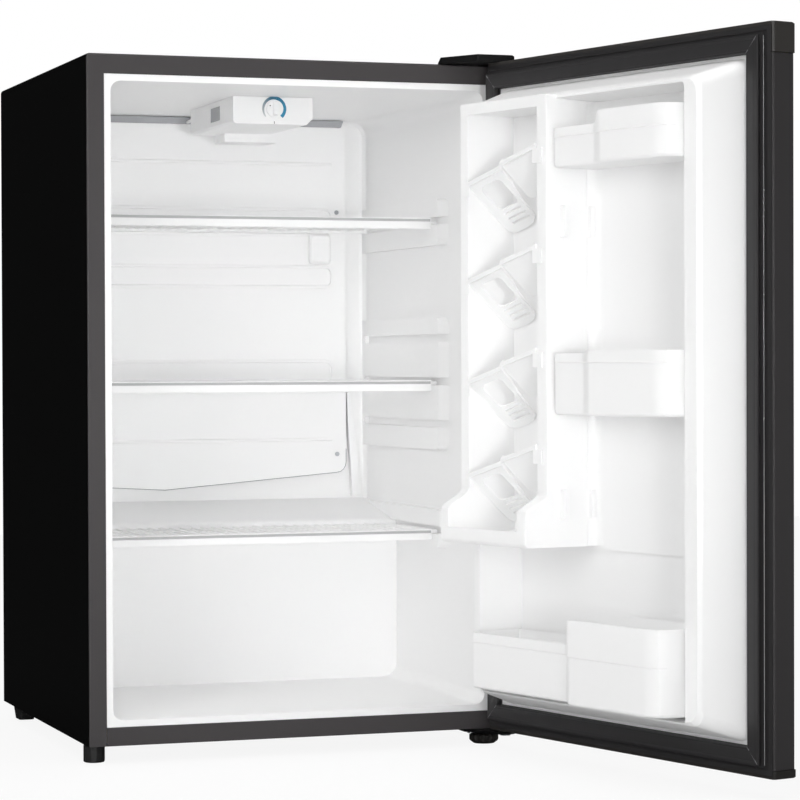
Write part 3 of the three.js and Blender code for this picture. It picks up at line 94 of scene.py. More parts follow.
# No made skin is quite flat: a noise of the grain's real size in millimetres tilts it and shifts its gloss
def addGrain(material, size, height, glossSpread):
    tree = material.node_tree
    shader = tree.nodes["Principled BSDF"]
    place = addNode(tree, "ShaderNodeTexCoord")
    noise = addNode(tree, "ShaderNodeTexNoise", links={"Vector": place.outputs["Object"]},
                    values={"Scale": 1 / (size * mm), "Detail": 2.0, "Roughness": 0.55})
    bump = addNode(tree, "ShaderNodeBump", values={"Strength": 1.0, "Distance": height * mm},
                   links={"Height": noise.outputs["Fac"]})
    tree.links.new(bump.outputs["Normal"], shader.inputs["Normal"])
    middle = shader.inputs["Roughness"].default_value
    spread = addNode(tree, "ShaderNodeMapRange", links={"Value": noise.outputs["Fac"]}, values={
        "To Min": middle - glossSpread, "To Max": min(middle + glossSpread, 1)})
    tree.links.new(spread.outputs["Result"], shader.inputs["Roughness"])


# A piece may carry several finishes; the first is used where no face asks for another
def makePiece(name, mesh, finishes, body, replaced=(), smoothAngle=35):
    data = bpy.data.meshes.new(name)
    mesh.to_mesh(data)
    mesh.free()
    piece = bpy.data.objects.new(name, data)
    bpy.context.collection.objects.link(piece)
    data.materials.clear()
    for finish in finishes:
        data.materials.append(finish)
    data.shade_smooth()
    data.set_sharp_from_angle(angle=math.radians(smoothAngle))
    weigh = piece.modifiers.new("even_normals", "WEIGHTED_NORMAL")
    weigh.keep_sharp = True
    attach(piece, body)
    if replaced:
        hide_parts(*replaced)
    return piece


def localBox(node, place):
    corners = [place.inverted() @ vert.co for vert in nodes[node].data.vertices]
    return [Vector(f(*pair) for pair in zip(*corners)) for f in (min, max)]


def addBlock(mesh, low, high):
    low, high = Vector(low), Vector(high)
    size = Matrix.Diagonal(high - low).to_4x4()
    bmesh.ops.create_cube(mesh, size=1, matrix=Matrix.Translation((low + high) / 2) @ size)


def addRod(mesh, start, end, radius, segments=12):
    start, end = Vector(start), Vector(end)
    turn = (end - start).to_track_quat("Z", "Y").to_matrix().to_4x4()
    bmesh.ops.create_cone(mesh, cap_ends=True, segments=segments, radius1=radius, radius2=radius,
                          depth=(end - start).length, matrix=Matrix.Translation((start + end) / 2) @ turn)


# A flat outline of (a, b) points pushed from low to high along x or z
def addPrism(mesh, outline, axis, low, high):
    spot = {"x": lambda a, b, c: (c, a, b), "z": lambda a, b, c: (a, b, c)}[axis]
    face = mesh.faces.new([mesh.verts.new(spot(a, b, low)) for a, b in outline])
    grown = bmesh.ops.extrude_face_region(mesh, geom=[face])["geom"]
    bmesh.ops.translate(mesh, vec=spot(0, 0, high - low),
                        verts=[part for part in grown if isinstance(part, bmesh.types.BMVert)])


# A profile of (inset, depth, finish) carried round a rectangle in the door's plane, with mitred corners
def sweepRound(mesh, profile, low, high):
    square = Matrix.Rotation(math.radians(90), 4, "X") @ Matrix.Rotation(math.radians(45), 4, "Z")
    loops = []
    for inset, depth, _ in profile:
        size = Vector((high[0] - low[0] - 2 * inset, 1, high[1] - low[1] - 2 * inset))
        middle = Vector(((low[0] + high[0]) / 2, depth, (low[1] + high[1]) / 2))
        place = Matrix.Translation(middle) @ Matrix.Diagonal(size).to_4x4() @ square
        loops.append(bmesh.ops.create_circle(mesh, segments=4, radius=math.sqrt(0.5), matrix=place)["verts"])
    for i, (_, _, finish) in enumerate(profile):
        near, far = loops[i], loops[(i + 1) % len(loops)]
        for k in range(4):
            mesh.faces.new((near[k - 1], near[k], far[k], far[k - 1])).material_index = finish


def settle(mesh, place):
    bmesh.ops.transform(mesh, matrix=place, verts=mesh.verts)
    bmesh.ops.recalc_face_normals(mesh, faces=mesh.faces)
    return mesh


def roundEdges(mesh, width, segments, sharpFrom, test=None):
    limit = math.radians(sharpFrom)
    edges = [edge for edge in mesh.edges if edge.is_manifold and edge.calc_face_angle() > limit]
    if test:
        edges = [edge for edge in edges if test((edge.verts[0].co + edge.verts[1].co) / 2)]
    bmesh.ops.bevel(mesh, geom=edges, offset=width, offset_type="OFFSET", segments=segments, profile=0.5,
                    affect="EDGES", clamp_overlap=True, material=-1)


# Doubles closer than this many millimetres are merged, and flats within this many degrees are joined;
# folded and moulded edges count as sharp from their own angles
cleaning = {"doubles": 0.02, "flat": 0.6, "sharp": 25, "softSharp": 35, "softSegments": 4, "segments": 2}


# The frame's own shape with its doubles merged, its flats joined, its soft edges rounded and the rest broken
def refine(node, width, finish, soft=(), place=cabinetPlace, draw=None):
    back = place.inverted()
    mesh = bmesh.new()
    mesh.from_mesh(nodes[node].data)
    bmesh.ops.remove_doubles(mesh, verts=mesh.verts, dist=cleaning["doubles"] * mm)
    for vert in mesh.verts if draw else ():
        vert.co = place @ draw(back @ vert.co)
    bmesh.ops.dissolve_limit(mesh, angle_limit=math.radians(cleaning["flat"]), verts=mesh.verts,
                             edges=mesh.edges, use_dissolve_boundaries=False)
    for test, softWidth in soft:
        roundEdges(mesh, softWidth * mm, cleaning["softSegments"], cleaning["softSharp"],
                   lambda spot: test(back @ spot))
    roundEdges(mesh, width * mm, cleaning["segments"], cleaning["sharp"])
    return makePiece(node + "_finish", mesh, [finish], bodyOf[node], [node])


# Faces that meet a test take a second finish: below, the painted light of the frame's front and the painted shade
# at the evaporator plate's rim
def coverFaces(piece, finish, test):
    piece.data.materials.append(finish)
    for face in piece.data.polygons:
        if test(face):
            face.material_index = len(piece.data.materials) - 1


# Finishes: the numbers in brackets are the grain's size, its height and how far the gloss wanders

# Polyester paint sprayed on steel: near black at the sides, a dull sheen broken by orange peel
blackPaint = newMaterial("black_polyester_paint_sprayed", "#060607", 0.42, (2.2, 0.03, 0.04),
                         ior=1.55, specular=0.22)
# Painted light: the frame is the same black paint as the sides, and this grey stands for the light its front faces
# catch
framePaintedLight = newMaterial("black_paint_with_painted_light_grey", "#434041", 0.5, (1.4, 0.02, 0.04),
                         ior=1.55, specular=0.34)
# Painted light: the door is black paint too, and this charcoal stands for the light its skin catches
doorPaintedLight = newMaterial("black_door_paint_with_painted_light_charcoal", "#393738", 0.5, (1.4, 0.02, 0.04),
                        ior=1.55, specular=0.34)
# Primer and dipped enamel round the compressor: flat black sheet, a glossier black pot
bayPaint = newMaterial("black_primer_on_steel_sheet", "#141415", 0.6, (1.2, 0.02, 0.06),
                       ior=1.55, specular=0.3)
bayEnamel = newMaterial("black_enamel_dipped", "#101012", 0.3, (3.0, 0.02, 0.05), ior=1.55, specular=0.43)
# Moulded polypropylene and ABS: a fine even texture that spreads the highlight
blackPlastic = newMaterial("black_polypropylene_moulded", "#2b2927", 0.55, (0.9, 0.03, 0.05),
                           ior=1.49, specular=0.41)
coverPlastic = newMaterial("black_polypropylene_cover_moulded", "#0d0d0d", 0.5, (0.9, 0.03, 0.05),
                           ior=1.49, specular=0.36)
capPlastic = newMaterial("charcoal_abs_moulded", "#3b3937", 0.34, (0.8, 0.01, 0.03), ior=1.54, specular=0.44)
whitePlastic = newMaterial("white_abs_moulded", "#fafafa", 0.35, (0.8, 0.01, 0.03), ior=1.54, specular=0.4)
# High impact polystyrene drawn over a mould: white satin, faintly wavy where the sheet was stretched
whiteLiner = newMaterial("white_hips_vacuum_formed", "#fafafa", 0.32, (5.0, 0.015, 0.03),
                         ior=1.59, specular=0.35)
# Shelf trim slots and moulded lens: both grey, smooth and a little glossier than the white parts; the grey in the
# trims' slots is painted shade
slotShadeGrey = newMaterial("shelf_slot_painted_shade", "#b9b9ba", 0.3, (2.0, 0.01, 0.03),
                        ior=1.59, specular=0.39)
greyLens = newMaterial("smoke_polycarbonate_moulded", "#a9abad", 0.25, (4.0, 0.01, 0.02),
                       ior=1.585, specular=0.39)
# Soft vinyl and rubber: the gasket's band is satin and its welded corners are pale; the near black on its folds
# and fin is painted shade
gasketVinyl = newMaterial("dark_grey_vinyl_extruded", "#302f30", 0.46, (1.6, 0.02, 0.05),
                          ior=1.53, specular=0.46)
weldedVinyl = newMaterial("grey_vinyl_weld", "#8b8b8d", 0.5, (0.6, 0.02, 0.05), ior=1.53, specular=0.46)
foldShadeVinyl = newMaterial("gasket_folds_painted_shade", "#030303", 0.7, (1.6, 0.02, 0.05),
                           ior=1.53, specular=0.09)
blackRubber = newMaterial("black_rubber_moulded", "#262626", 0.4, (1.0, 0.03, 0.08), ior=1.52, specular=0.47)
# Bare metals: zinc plate is cloudy and drawn copper streaky. The grey on the evaporator plate's rim and lower
# edge is painted shade, standing for the shadow line where the plate stands off the wall
zincSteel = newMaterial("zinc_plated_steel", "#b9bbbf", 0.35, (2.5, 0.01, 0.1), metallic=1.0)
copperTube = newMaterial("copper_tube_drawn", "#c98b63", 0.3, (3.0, 0.01, 0.1), metallic=1.0)
rimShadeGrey = newMaterial("plate_rim_painted_shade", "#9b9d9f", 0.5, (0.8, 0.02, 0.1))
# White coats: nylon fused on wire is thick and soft at the edges, the coat of the rolled plate is level satin
coatedWire = newMaterial("white_nylon_coated_wire", "#f9f9f9", 0.35, (1.2, 0.03, 0.05),
                         ior=1.53, specular=0.46)
coatedPlate = newMaterial("white_coated_aluminium_rolled", "#fafafa", 0.4, (7.0, 0.03, 0.04),
                          ior=1.55, specular=0.43)
# Foams: poured polyurethane is tan with open cells that show as pits; the grey strip over the evaporator is
# painted shade for the gap above the plate, with the same pitted grain
foamFill = newMaterial("polyurethane_foam_poured", "#d9c58c", 0.9, (1.5, 0.3, 0.05))
gapShadeFoam = newMaterial("painted_shade_grey_foam", "#b0b1b4", 0.9, (1.4, 0.25, 0.05), specular=0.1)
# Pad printed inks: thin and a little glossy
markInk = newMaterial("black_pad_print", "#2a2a2a", 0.5, (0.5, 0.005, 0.03))
dialInk = newMaterial("blue_pad_print", "#2389b8", 0.35, (0.5, 0.005, 0.03))


# The print fades along the arc, so its colour follows the strip's own map
def inkAlong(material, stops):
    tree = material.node_tree
    place = addNode(tree, "ShaderNodeUVMap", {"uv_map": "along"})
    split = addNode(tree, "ShaderNodeSeparateXYZ", links={"Vector": place.outputs["UV"]})
    ramp = addNode(tree, "ShaderNodeValToRGB", links={"Fac": split.outputs["X"]})
    for i, (share, colour) in enumerate(stops):
        stop = ramp.color_ramp.elements[i] if i < 2 else ramp.color_ramp.elements.new(share)
        stop.position = share
        stop.color = toLinear(colour)
    tree.links.new(ramp.outputs["Color"], tree.nodes["Principled BSDF"].inputs["Base Color"])


# Both ends come first, because a new ramp already holds two stops
inkAlong(dialInk, [(0.0, "#d9dcdd"), (1.0, "#2f8db2"), (0.14, "#a3a9ac"), (0.3, "#71848c"), (0.42, "#2b6c86"),
                   (0.6, "#1f7596"), (0.75, "#2a86aa")])

# The finish of each of the record's material slots
finishOf = {
    "black_painted_steel": blackPaint, "dark_grey_painted_steel": framePaintedLight, "black_plastic": blackPlastic,
    "white_liner": whiteLiner, "white_plastic": whitePlastic, "rubber": blackRubber,
    "gasket_vinyl": gasketVinyl, "foam": foamFill, "zinc_steel": zincSteel, "copper": copperTube,
    "coated_wire": coatedWire, "coated_plate": coatedPlate, "grey_lens": greyLens,
}

print("finishes made")

# Camera and studio; angles are in degrees and the lens is in millimetres
camera = {"place": (-0.7803, -3.32305, 0.47103), "turn": 19.31, "tilt": -0.76, "roll": -0.19,
          "lens": 129.605, "sensor": 36, "reach": 50}


def addCamera():
    turn, tilt, roll = (math.radians(camera[key]) for key in ("turn", "tilt", "roll"))
    forward = Vector((math.sin(turn) * math.cos(tilt), math.cos(turn) * math.cos(tilt), math.sin(tilt)))
    level = Vector((math.cos(turn), -math.sin(turn), 0))
    above = level.cross(forward)
    right = level * math.cos(roll) + above * math.sin(roll)
    up = right.cross(forward)
    data = bpy.data.cameras.new("camera")
    data.lens = camera["lens"]
    data.sensor_width = camera["sensor"]
    data.clip_end = camera["reach"]
    eye = bpy.data.objects.new("camera", data)
    turned = Matrix((right, up, -forward)).transposed().to_4x4()
    eye.matrix_world = Matrix.Translation(Vector(camera["place"])) @ turned
    bpy.context.collection.objects.link(eye)
    bpy.context.scene.camera = eye


addCamera()

# A soft key from the left, a gridded fill into the compartment and a soft panel overhead
lamps = [
    {"name": "key", "place": (-2.6, -3.1, 1.7), "aim": (0.3, -0.1, 0.4), "size": 1.8, "power": 43,
     "spread": 180},
    {"name": "gridded", "place": (-0.2, -3.6, 0.3), "aim": (0.31, 0.4, 0.50), "size": 0.7, "power": 1.04,
     "spread": 24},
    {"name": "over", "place": (0.2, -0.6, 3.0), "aim": (0.2, 0.1, 0.4), "size": 2.0, "power": 27.5,
     "spread": 180},
]


def addLamp(settings):
    data = bpy.data.lights.new(settings["name"], "AREA")
    data.shape = "SQUARE"
    data.size = settings["size"]
    data.energy = settings["power"]
    data.spread = math.radians(settings["spread"])
    lamp = bpy.data.objects.new(settings["name"], data)
    place = Vector(settings["place"])
    turned = (Vector(settings["aim"]) - place).to_track_quat("-Z", "Y").to_matrix().to_4x4()
    lamp.matrix_world = Matrix.Translation(place) @ turned
    bpy.context.collection.objects.link(lamp)


for lamp in lamps:
    addLamp(lamp)

# glossyShare is how much of the room a glossy skin mirrors; floorGlow whitens the paper for the camera only
studio = {"worldLight": 0.5, "glossyShare": 0.04, "bounces": 12,
          "floorSize": 9.0, "floorColour": "#f0f0f0", "floorRoughness": 0.9, "floorGlow": 0.9}


# White to the camera; what a glossy skin mirrors is kept dim, as black cloths beside a studio object do
def makeWorld():
    world = bpy.data.worlds.new("studio_world")
    bpy.context.scene.world = world
    world.use_nodes = True
    tree = world.node_tree
    tree.nodes.clear()
    path = addNode(tree, "ShaderNodeLightPath")
    dim = addNode(tree, "ShaderNodeMapRange", links={"Value": path.outputs["Is Glossy Ray"]}, values={
        "To Min": studio["worldLight"], "To Max": studio["worldLight"] * studio["glossyShare"]})
    seen = addNode(tree, "ShaderNodeBackground", values={"Color": (1, 1, 1, 1), "Strength": 1.0})
    light = addNode(tree, "ShaderNodeBackground", values={"Color": (1, 1, 1, 1)},
                    links={"Strength": dim.outputs["Result"]})
    mix = addNode(tree, "ShaderNodeMixShader", links={"Fac": path.outputs["Is Camera Ray"]})
    tree.links.new(light.outputs[0], mix.inputs[1])
    tree.links.new(seen.outputs[0], mix.inputs[2])
    out = addNode(tree, "ShaderNodeOutputWorld")
    tree.links.new(mix.outputs[0], out.inputs["Surface"])


def makeFloor():
    mesh = bmesh.new()
    bmesh.ops.create_grid(mesh, x_segments=1, y_segments=1, size=studio["floorSize"] / 2)
    data = bpy.data.meshes.new("floor")
    mesh.to_mesh(data)
    mesh.free()
    floor = bpy.data.objects.new("floor", data)
    bpy.context.collection.objects.link(floor)
    material = bpy.data.materials.new("studio_floor_paper")
    material.use_nodes = True
    tree = material.node_tree
    shader = tree.nodes["Principled BSDF"]
    shader.inputs["Base Color"].default_value = toLinear(studio["floorColour"])
    shader.inputs["Roughness"].default_value = studio["floorRoughness"]
    path = addNode(tree, "ShaderNodeLightPath")
    glow = addNode(tree, "ShaderNodeEmission", values={"Color": (1, 1, 1, 1), "Strength": 1.0})
    share = addNode(tree, "ShaderNodeMath", {"operation": "MULTIPLY"}, {1: studio["floorGlow"]},
                    {0: path.outputs["Is Camera Ray"]})
    mix = addNode(tree, "ShaderNodeMixShader", links={"Fac": share.outputs[0]})
    tree.links.new(shader.outputs[0], mix.inputs[1])
    tree.links.new(glow.outputs[0], mix.inputs[2])
    dark = addNode(tree, "ShaderNodeEmission", values={"Color": (0, 0, 0, 1), "Strength": 0.0})
    mirrored = addNode(tree, "ShaderNodeMath", {"operation": "MULTIPLY"}, {1: 1 - studio["glossyShare"]},
                       {0: path.outputs["Is Glossy Ray"]})
    dimmed = addNode(tree, "ShaderNodeMixShader", links={"Fac": mirrored.outputs[0]})
    tree.links.new(mix.outputs[0], dimmed.inputs[1])
    tree.links.new(dark.outputs[0], dimmed.inputs[2])
    tree.links.new(dimmed.outputs[0], tree.nodes["Material Output"].inputs["Surface"])
    data.materials.append(material)


makeWorld()
makeFloor()
bpy.context.scene.view_settings.view_transform = "Standard"
bpy.context.scene.cycles.diffuse_bounces = studio["bounces"]  # a white compartment hands light on many times
print("studio ready")

# Pieces that keep the frame's shape: edge width in millimetres
edgeWidths = {
    "cabinet_shell": 0.35, "bottom_rail": 0.35, "back_panel": 0.3, "base_pan": 0.3,
    "compressor": 0.6, "compressor_plate": 0.3, "relay_cover": 0.8, "drip_tray": 0.8, "cord_gland": 0.4,
    "evaporator_plate": 0.5, "bulb_clip": 0.5, "tube_cover": 0.6,
    "thermostat_housing": 0.8, "thermostat": 0.4, "thermostat_knob": 0.5, "lamp_window": 0.2,
    "top_hinge": 0.4, "bottom_hinge": 0.4,
    "door_skin": 0.6, "door_top_cap": 1.0, "door_bottom_cap": 1.0,
    "door_bin_top": 0.8, "door_bin_middle": 0.8, "door_bin_bottom": 0.8,
    "front_left_foot": 0.8, "front_right_foot": 0.8, "rear_left_foot": 0.8, "rear_right_foot": 0.8,
}
ownFinish = {"door_skin": doorPaintedLight, "door_top_cap": capPlastic, "back_panel": bayPaint,
             "compressor": bayEnamel}
# Pieces that the steps below make again
rebuilt = {"cabinet_foam", "inner_liner", "door_liner", "door_gasket", "top_hinge_cover",
           "can_rack_1", "can_rack_2", "can_rack_3", "can_rack_4",
           "shelf_top", "shelf_middle", "shelf_bottom"}
pieces = {}
for node, source in nodes.items():
    if node in edgeWidths:
        pieces[node] = refine(node, edgeWidths[node], ownFinish.get(node, finishOf[slotOf[node]]))
    elif node not in rebuilt:
        source.data.materials.clear()
        source.data.materials.append(finishOf[slotOf[node]])

# The folded front of the shell takes the frame's grey, which is painted light on the same black paint; its sides
# and top are black
paintedLightFold = {"depth": 3, "facing": -0.6}
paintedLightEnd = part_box("cabinet_shell")[0].y + paintedLightFold["depth"] * mm
coverFaces(pieces["cabinet_shell"], framePaintedLight,
           lambda face: face.normal.y < paintedLightFold["facing"] and face.center.y < paintedLightEnd)

# Painted shade: the evaporator's rim faces turn grey and a thin grey rod runs along its lower edge, along (x, z)
# points on its face, for the shadow line at the plate's edge
plateShadeEdge = {"side": 1.5, "foot": 42, "facing": 0.3, "rim": 0.8, "sheet": 2.3, "lineRadius": 0.5, "points": [
    (67, 288), (205, 280), (445, 300), (451, 301.3), (455, 304.2), (458, 308.8), (459, 314), (459, 332)]}
plateLow, plateHigh = localBox("evaporator_plate", cabinetPlace)


def onPlateShadeEdge(face):
    spot = cabinetPlace.inverted() @ face.center
    atSide = spot.x > plateHigh.x - plateShadeEdge["side"]
    atFoot = spot.z < plateLow.z + plateShadeEdge["foot"] and face.normal.z < -plateShadeEdge["facing"]
    return (atSide or atFoot) and abs(face.normal.y) < plateShadeEdge["rim"]


def makePlateShadeLine():
    mesh = bmesh.new()
    front = plateHigh.y - plateShadeEdge["sheet"]
    for start, end in zip(plateShadeEdge["points"], plateShadeEdge["points"][1:]):
        addRod(mesh, (start[0], front, start[1]), (end[0], front, end[1]), plateShadeEdge["lineRadius"], 8)
    makePiece("evaporator_plate_shade_line", settle(mesh, cabinetPlace), [rimShadeGrey], "cabinet")


coverFaces(pieces["evaporator_plate"], rimShadeGrey, onPlateShadeEdge)
makePlateShadeLine()
print("plain pieces refined")

# Compartment liner: thermoformed, so the pads that carry the shelves have wide soft edges
liner = {"edge": 0.9, "padEdge": 4.0, "padFace": 40, "padPlay": 0.6, "padStart": 100,
         "leanFrom": 36, "leanTo": 41, "leanFront": 117.9, "leanFade": 26, "leanBefore": 0.1, "lean": 15}
shellLow, shellHigh = localBox("cabinet_shell", cabinetPlace)


# The front end of each pad leans back, as a drawn sheet has to, and the foam follows it
def leanPads(spot):
    inward = min(spot.x - shellLow.x, shellHigh.x - spot.x)
    along = (spot.y - liner["leanFront"]) / liner["leanFade"]
    if liner["leanFrom"] < inward < liner["leanTo"] and -liner["leanBefore"] < along < 1:
        spot.y += liner["lean"] * (1 - along)
    return spot


def onPadFace(spot):
    leftGap = abs(spot.x - liner["padFace"])
    rightGap = abs(shellHigh.x - liner["padFace"] - spot.x)
    return min(leftGap, rightGap) < liner["padPlay"] and spot.y > liner["padStart"]


refine("cabinet_foam", 0.2, foamFill, draw=leanPads)
refine("inner_liner", liner["edge"], whiteLiner, draw=leanPads, soft=[(onPadFace, liner["padEdge"])])

# Door liner: the can column and its tray swell out of the panel in soft curves
doorLiner = {"edge": 0.9, "columnEdge": 3.2, "columnOut": 80, "columnEnd": 216, "trayEdge": 5.4,
             "sideEdge": 5.4, "trayOut": 117, "trayLow": 238, "side": 199}


def onTray(spot):
    low = spot.z < doorLiner["trayLow"] and spot.x < doorLiner["columnEnd"]
    return low and spot.y > doorLiner["trayOut"]


def onColumnSide(spot):
    return spot.y > doorLiner["columnOut"] and doorLiner["side"] < spot.x < doorLiner["columnEnd"]


def onColumn(spot):
    return spot.y > doorLiner["columnOut"] and spot.x < doorLiner["side"]


refine("door_liner", doorLiner["edge"], whiteLiner, place=doorPlace, soft=[
    (onTray, doorLiner["trayEdge"]), (onColumnSide, doorLiner["sideEdge"]),
    (onColumn, doorLiner["columnEdge"])])

# The sheet is drawn in a wide cove where the column's wall meets the panel
cove = {"radius": 13, "wall": 211.2, "panel": 20.8, "sunk": 0.8, "low": 237.6, "high": 747.5, "steps": 10}


def makeCove():
    radius, wall, panel = cove["radius"], cove["wall"], cove["panel"]
    outline = [(wall - cove["sunk"], panel + radius), (wall - cove["sunk"], panel - cove["sunk"]),
               (wall + radius, panel - cove["sunk"])]
    for step in range(cove["steps"] + 1):
        angle = math.radians(270 - 90 * step / cove["steps"])
        outline.append((wall + radius * (1 + math.cos(angle)), panel + radius * (1 + math.sin(angle))))
    mesh = bmesh.new()
    addPrism(mesh, outline, "z", cove["low"], cove["high"])
    makePiece("door_liner_cove", settle(mesh, doorPlace), [whiteLiner], "door")


makeCove()
for number in range(1, 5):
    refine(f"can_rack_{number}", 0.6, whitePlastic, place=doorPlace)
print("liners and racks refined")

# Gasket: a magnet band on soft bellows, with a fin along the steel. The profile is (inset, depth, finish),
# inset from the band's outer edge, and finish 1 is a near black painted shade on the folds and the fin
gasket = {"fin": 1.3, "smooth": 50, "weldFrom": 1.6, "weldTo": 18.4, "weldOut": 26.3, "weldIn": 26.1,
          "weldRadius": 0.35}
gasketProfile = [
    (-10.6, 15.15, 1), (-10.6, 15.7, 1), (-8.4, 15.8, 0), (-7.6, 16.8, 0), (-4.9, 16.9, 0), (-4.4, 15.9, 1),
    (-1.6, 15.9, 1), (3.4, 17.0, 1), (3.6, 19.2, 0),
    (-2.2, 19.7, 0), (-2.4, 20.7, 1), (2.8, 21.2, 1), (3.0, 23.4, 0), (0.3, 23.9, 0), (-0.1, 25.7, 0),
    (0.7, 26.45, 0), (3.4, 26.5, 0), (4.0, 26.1, 0), (4.8, 26.1, 0), (5.4, 26.5, 0), (14.6, 26.5, 0),
    (15.4, 25.9, 1), (16.2, 25.9, 0), (16.9, 26.4, 0), (18.2, 26.1, 0), (18.9, 25.2, 0), (18.7, 22.4, 0),
    (15.6, 20.6, 1), (15.8, 18.4, 0), (18.9, 17.2, 0), (18.9, 15.2, 0),
]
gasketLow, gasketHigh = localBox("door_gasket", doorPlace)
bandLow = (gasketLow.x + gasket["fin"], gasketLow.z + gasket["fin"])
bandHigh = (gasketHigh.x - gasket["fin"], gasketHigh.z - gasket["fin"])


def makeGasket():
    mesh = bmesh.new()
    sweepRound(mesh, gasketProfile, bandLow, bandHigh)
    makePiece("door_gasket_finish", settle(mesh, doorPlace), [gasketVinyl, foldShadeVinyl], "door",
              ["door_gasket"], smoothAngle=gasket["smooth"])


# Each corner is mitred and welded, and the weld shows as a pale line across the band
def makeGasketWelds():
    mesh = bmesh.new()
    for x, into in ((bandLow[0], 1), (bandHigh[0], -1)):
        for z, up in ((bandLow[1], 1), (bandHigh[1], -1)):
            near = (x + gasket["weldFrom"] * into, gasket["weldOut"], z + gasket["weldFrom"] * up)
            far = (x + gasket["weldTo"] * into, gasket["weldIn"], z + gasket["weldTo"] * up)
            addRod(mesh, near, far, gasket["weldRadius"], 8)
    makePiece("door_gasket_welds", settle(mesh, doorPlace), [weldedVinyl], "door")


makeGasket()
makeGasketWelds()
print("gasket ready")

# Wire shelf: rods in the grooves, thin wires on top, and a moulded front trim whose slot holds a grey strip of
# painted shade
shelf = {"wire": 1.25, "rod": 2.4, "crossRod": 0.92, "pitch": 14, "lift": 0.4, "rodPlay": 0.5,
         "wireShort": 1, "rodShort": 0.6, "trimEnd": 8.4, "trimDeep": 2.6, "ledge": 5, "ledgeThick": 1.4,
         "lip": 1.3, "slot": 3.4, "slotDeep": 1.3, "round": 0.35, "stripEnd": 1, "stripBack": 0.7,
         "stripPlay": 0.1}
# How far each trim's top lies under the shelf's, and the trim's height
shelfTrims = {"shelf_top": (2.2, 13.8), "shelf_middle": (4.6, 13.5), "shelf_bottom": (5.4, 13.0)}


def makeShelfWires(node, low, high):
    rod = shelf["rod"]
    level = low.z + rod + shelf["lift"]
    near, far = low.y + shelf["trimDeep"], high.y
    count = int((high.x - low.x - 3 * shelf["pitch"]) / shelf["pitch"])
    first = (low.x + high.x - (count - 1) * shelf["pitch"]) / 2
    mesh = bmesh.new()
    for i in range(count):
        x = first + i * shelf["pitch"]
        addRod(mesh, (x, near, level + rod), (x, far - shelf["wireShort"], level + rod), shelf["wire"], 8)
    for y in (near + rod, (near + far) / 2, far - rod):
        addRod(mesh, (low.x + shelf["rodPlay"], y, level), (high.x - shelf["rodPlay"], y, level),
               rod * shelf["crossRod"])
    for x in (low.x + rod, high.x - rod):
        addRod(mesh, (x, near, level), (x, far - shelf["rodShort"], level), rod)
    makePiece(node + "_finish", settle(mesh, cabinetPlace), [coatedWire], bodyOf[node], [node])


def makeShelfTrim(node, low, high):
    drop, height = shelfTrims[node]
    top, front = high.z - drop, low.y
    back = front + shelf["trimDeep"]
    under = top - shelf["ledgeThick"]
    slotTop = top - shelf["lip"]
    slotLow = slotTop - shelf["slot"]
    slotBack = front + shelf["slotDeep"]
    left, right = low.x + shelf["trimEnd"], high.x - shelf["trimEnd"]
    trim = bmesh.new()
    addPrism(trim, [
        (front, top - height), (back, top - height), (back, under), (back + shelf["ledge"], under),
        (back + shelf["ledge"], top), (front, top), (front, slotTop), (slotBack, slotTop),
        (slotBack, slotLow), (front, slotLow)], "x", left, right)
    bmesh.ops.recalc_face_normals(trim, faces=trim.faces)
    roundEdges(trim, shelf["round"], cleaning["segments"], cleaning["sharp"])
    makePiece(node + "_trim", settle(trim, cabinetPlace), [whitePlastic], bodyOf[node])
    strip = bmesh.new()
    addBlock(strip, (left + shelf["stripEnd"], front + shelf["stripBack"], slotLow + shelf["stripPlay"]),
             (right - shelf["stripEnd"], slotBack - shelf["stripPlay"] / 2, slotTop - shelf["stripPlay"]))
    makePiece(node + "_strip", settle(strip, cabinetPlace), [slotShadeGrey], bodyOf[node])


for node in shelfTrims:
    shelfLow, shelfHigh = localBox(node, cabinetPlace)
    makeShelfWires(node, shelfLow, shelfHigh)
    makeShelfTrim(node, shelfLow, shelfHigh)
print("shelves ready")

# Hinge cover: a low cap whose top climbs towards the pin and whose left end is cut at a slant
cover = {"wall": 84, "wallFront": 2, "slant": 15, "tip": 51, "cornerWide": 6, "cornerDeep": 9, "rise": 2.4,
         "edge": 0.8}


def makeHingeCover():
    low, high = localBox("top_hinge_cover", cabinetPlace)
    mesh = bmesh.new()
    addPrism(mesh, [
        (high.x - cover["wall"], cover["wallFront"]), (high.x - cover["tip"], low.y),
        (high.x - cover["cornerWide"], low.y), (high.x, low.y + cover["cornerDeep"]), (high.x, high.y),
        (high.x - cover["wall"] + cover["slant"], high.y)], "z", low.z, high.z)
    for vert in mesh.verts:
        if vert.co.z > high.z - 0.1:
            vert.co.z += cover["rise"] * (1 - (vert.co.y - low.y) / (high.y - low.y))
    bmesh.ops.recalc_face_normals(mesh, faces=mesh.faces)
    roundEdges(mesh, cover["edge"], cleaning["segments"], cleaning["sharp"])
    makePiece("top_hinge_cover_finish", settle(mesh, cabinetPlace), [coverPlastic], "cabinet",
              ["top_hinge_cover"])


makeHingeCover()

# Dial: an arc printed on the housing round the knob, thin and grey where it is warm, broad and blue where it
# is cold, with a mark under the knob and a dot on it
dial = {"outer": 15.6, "skirt": 10.6, "thin": 1.6, "broad": 5.6, "swell": 0.7, "start": 222, "end": -46,
        "proud": 0.08, "steps": 72, "markHalf": 0.35, "markFar": 18.5, "markNear": 15.5, "markThick": 0.06,
        "dotLeft": 6.5, "dotUp": 3.5, "dotFront": 5.2, "dotBack": 5.5, "dotRadius": 0.8}


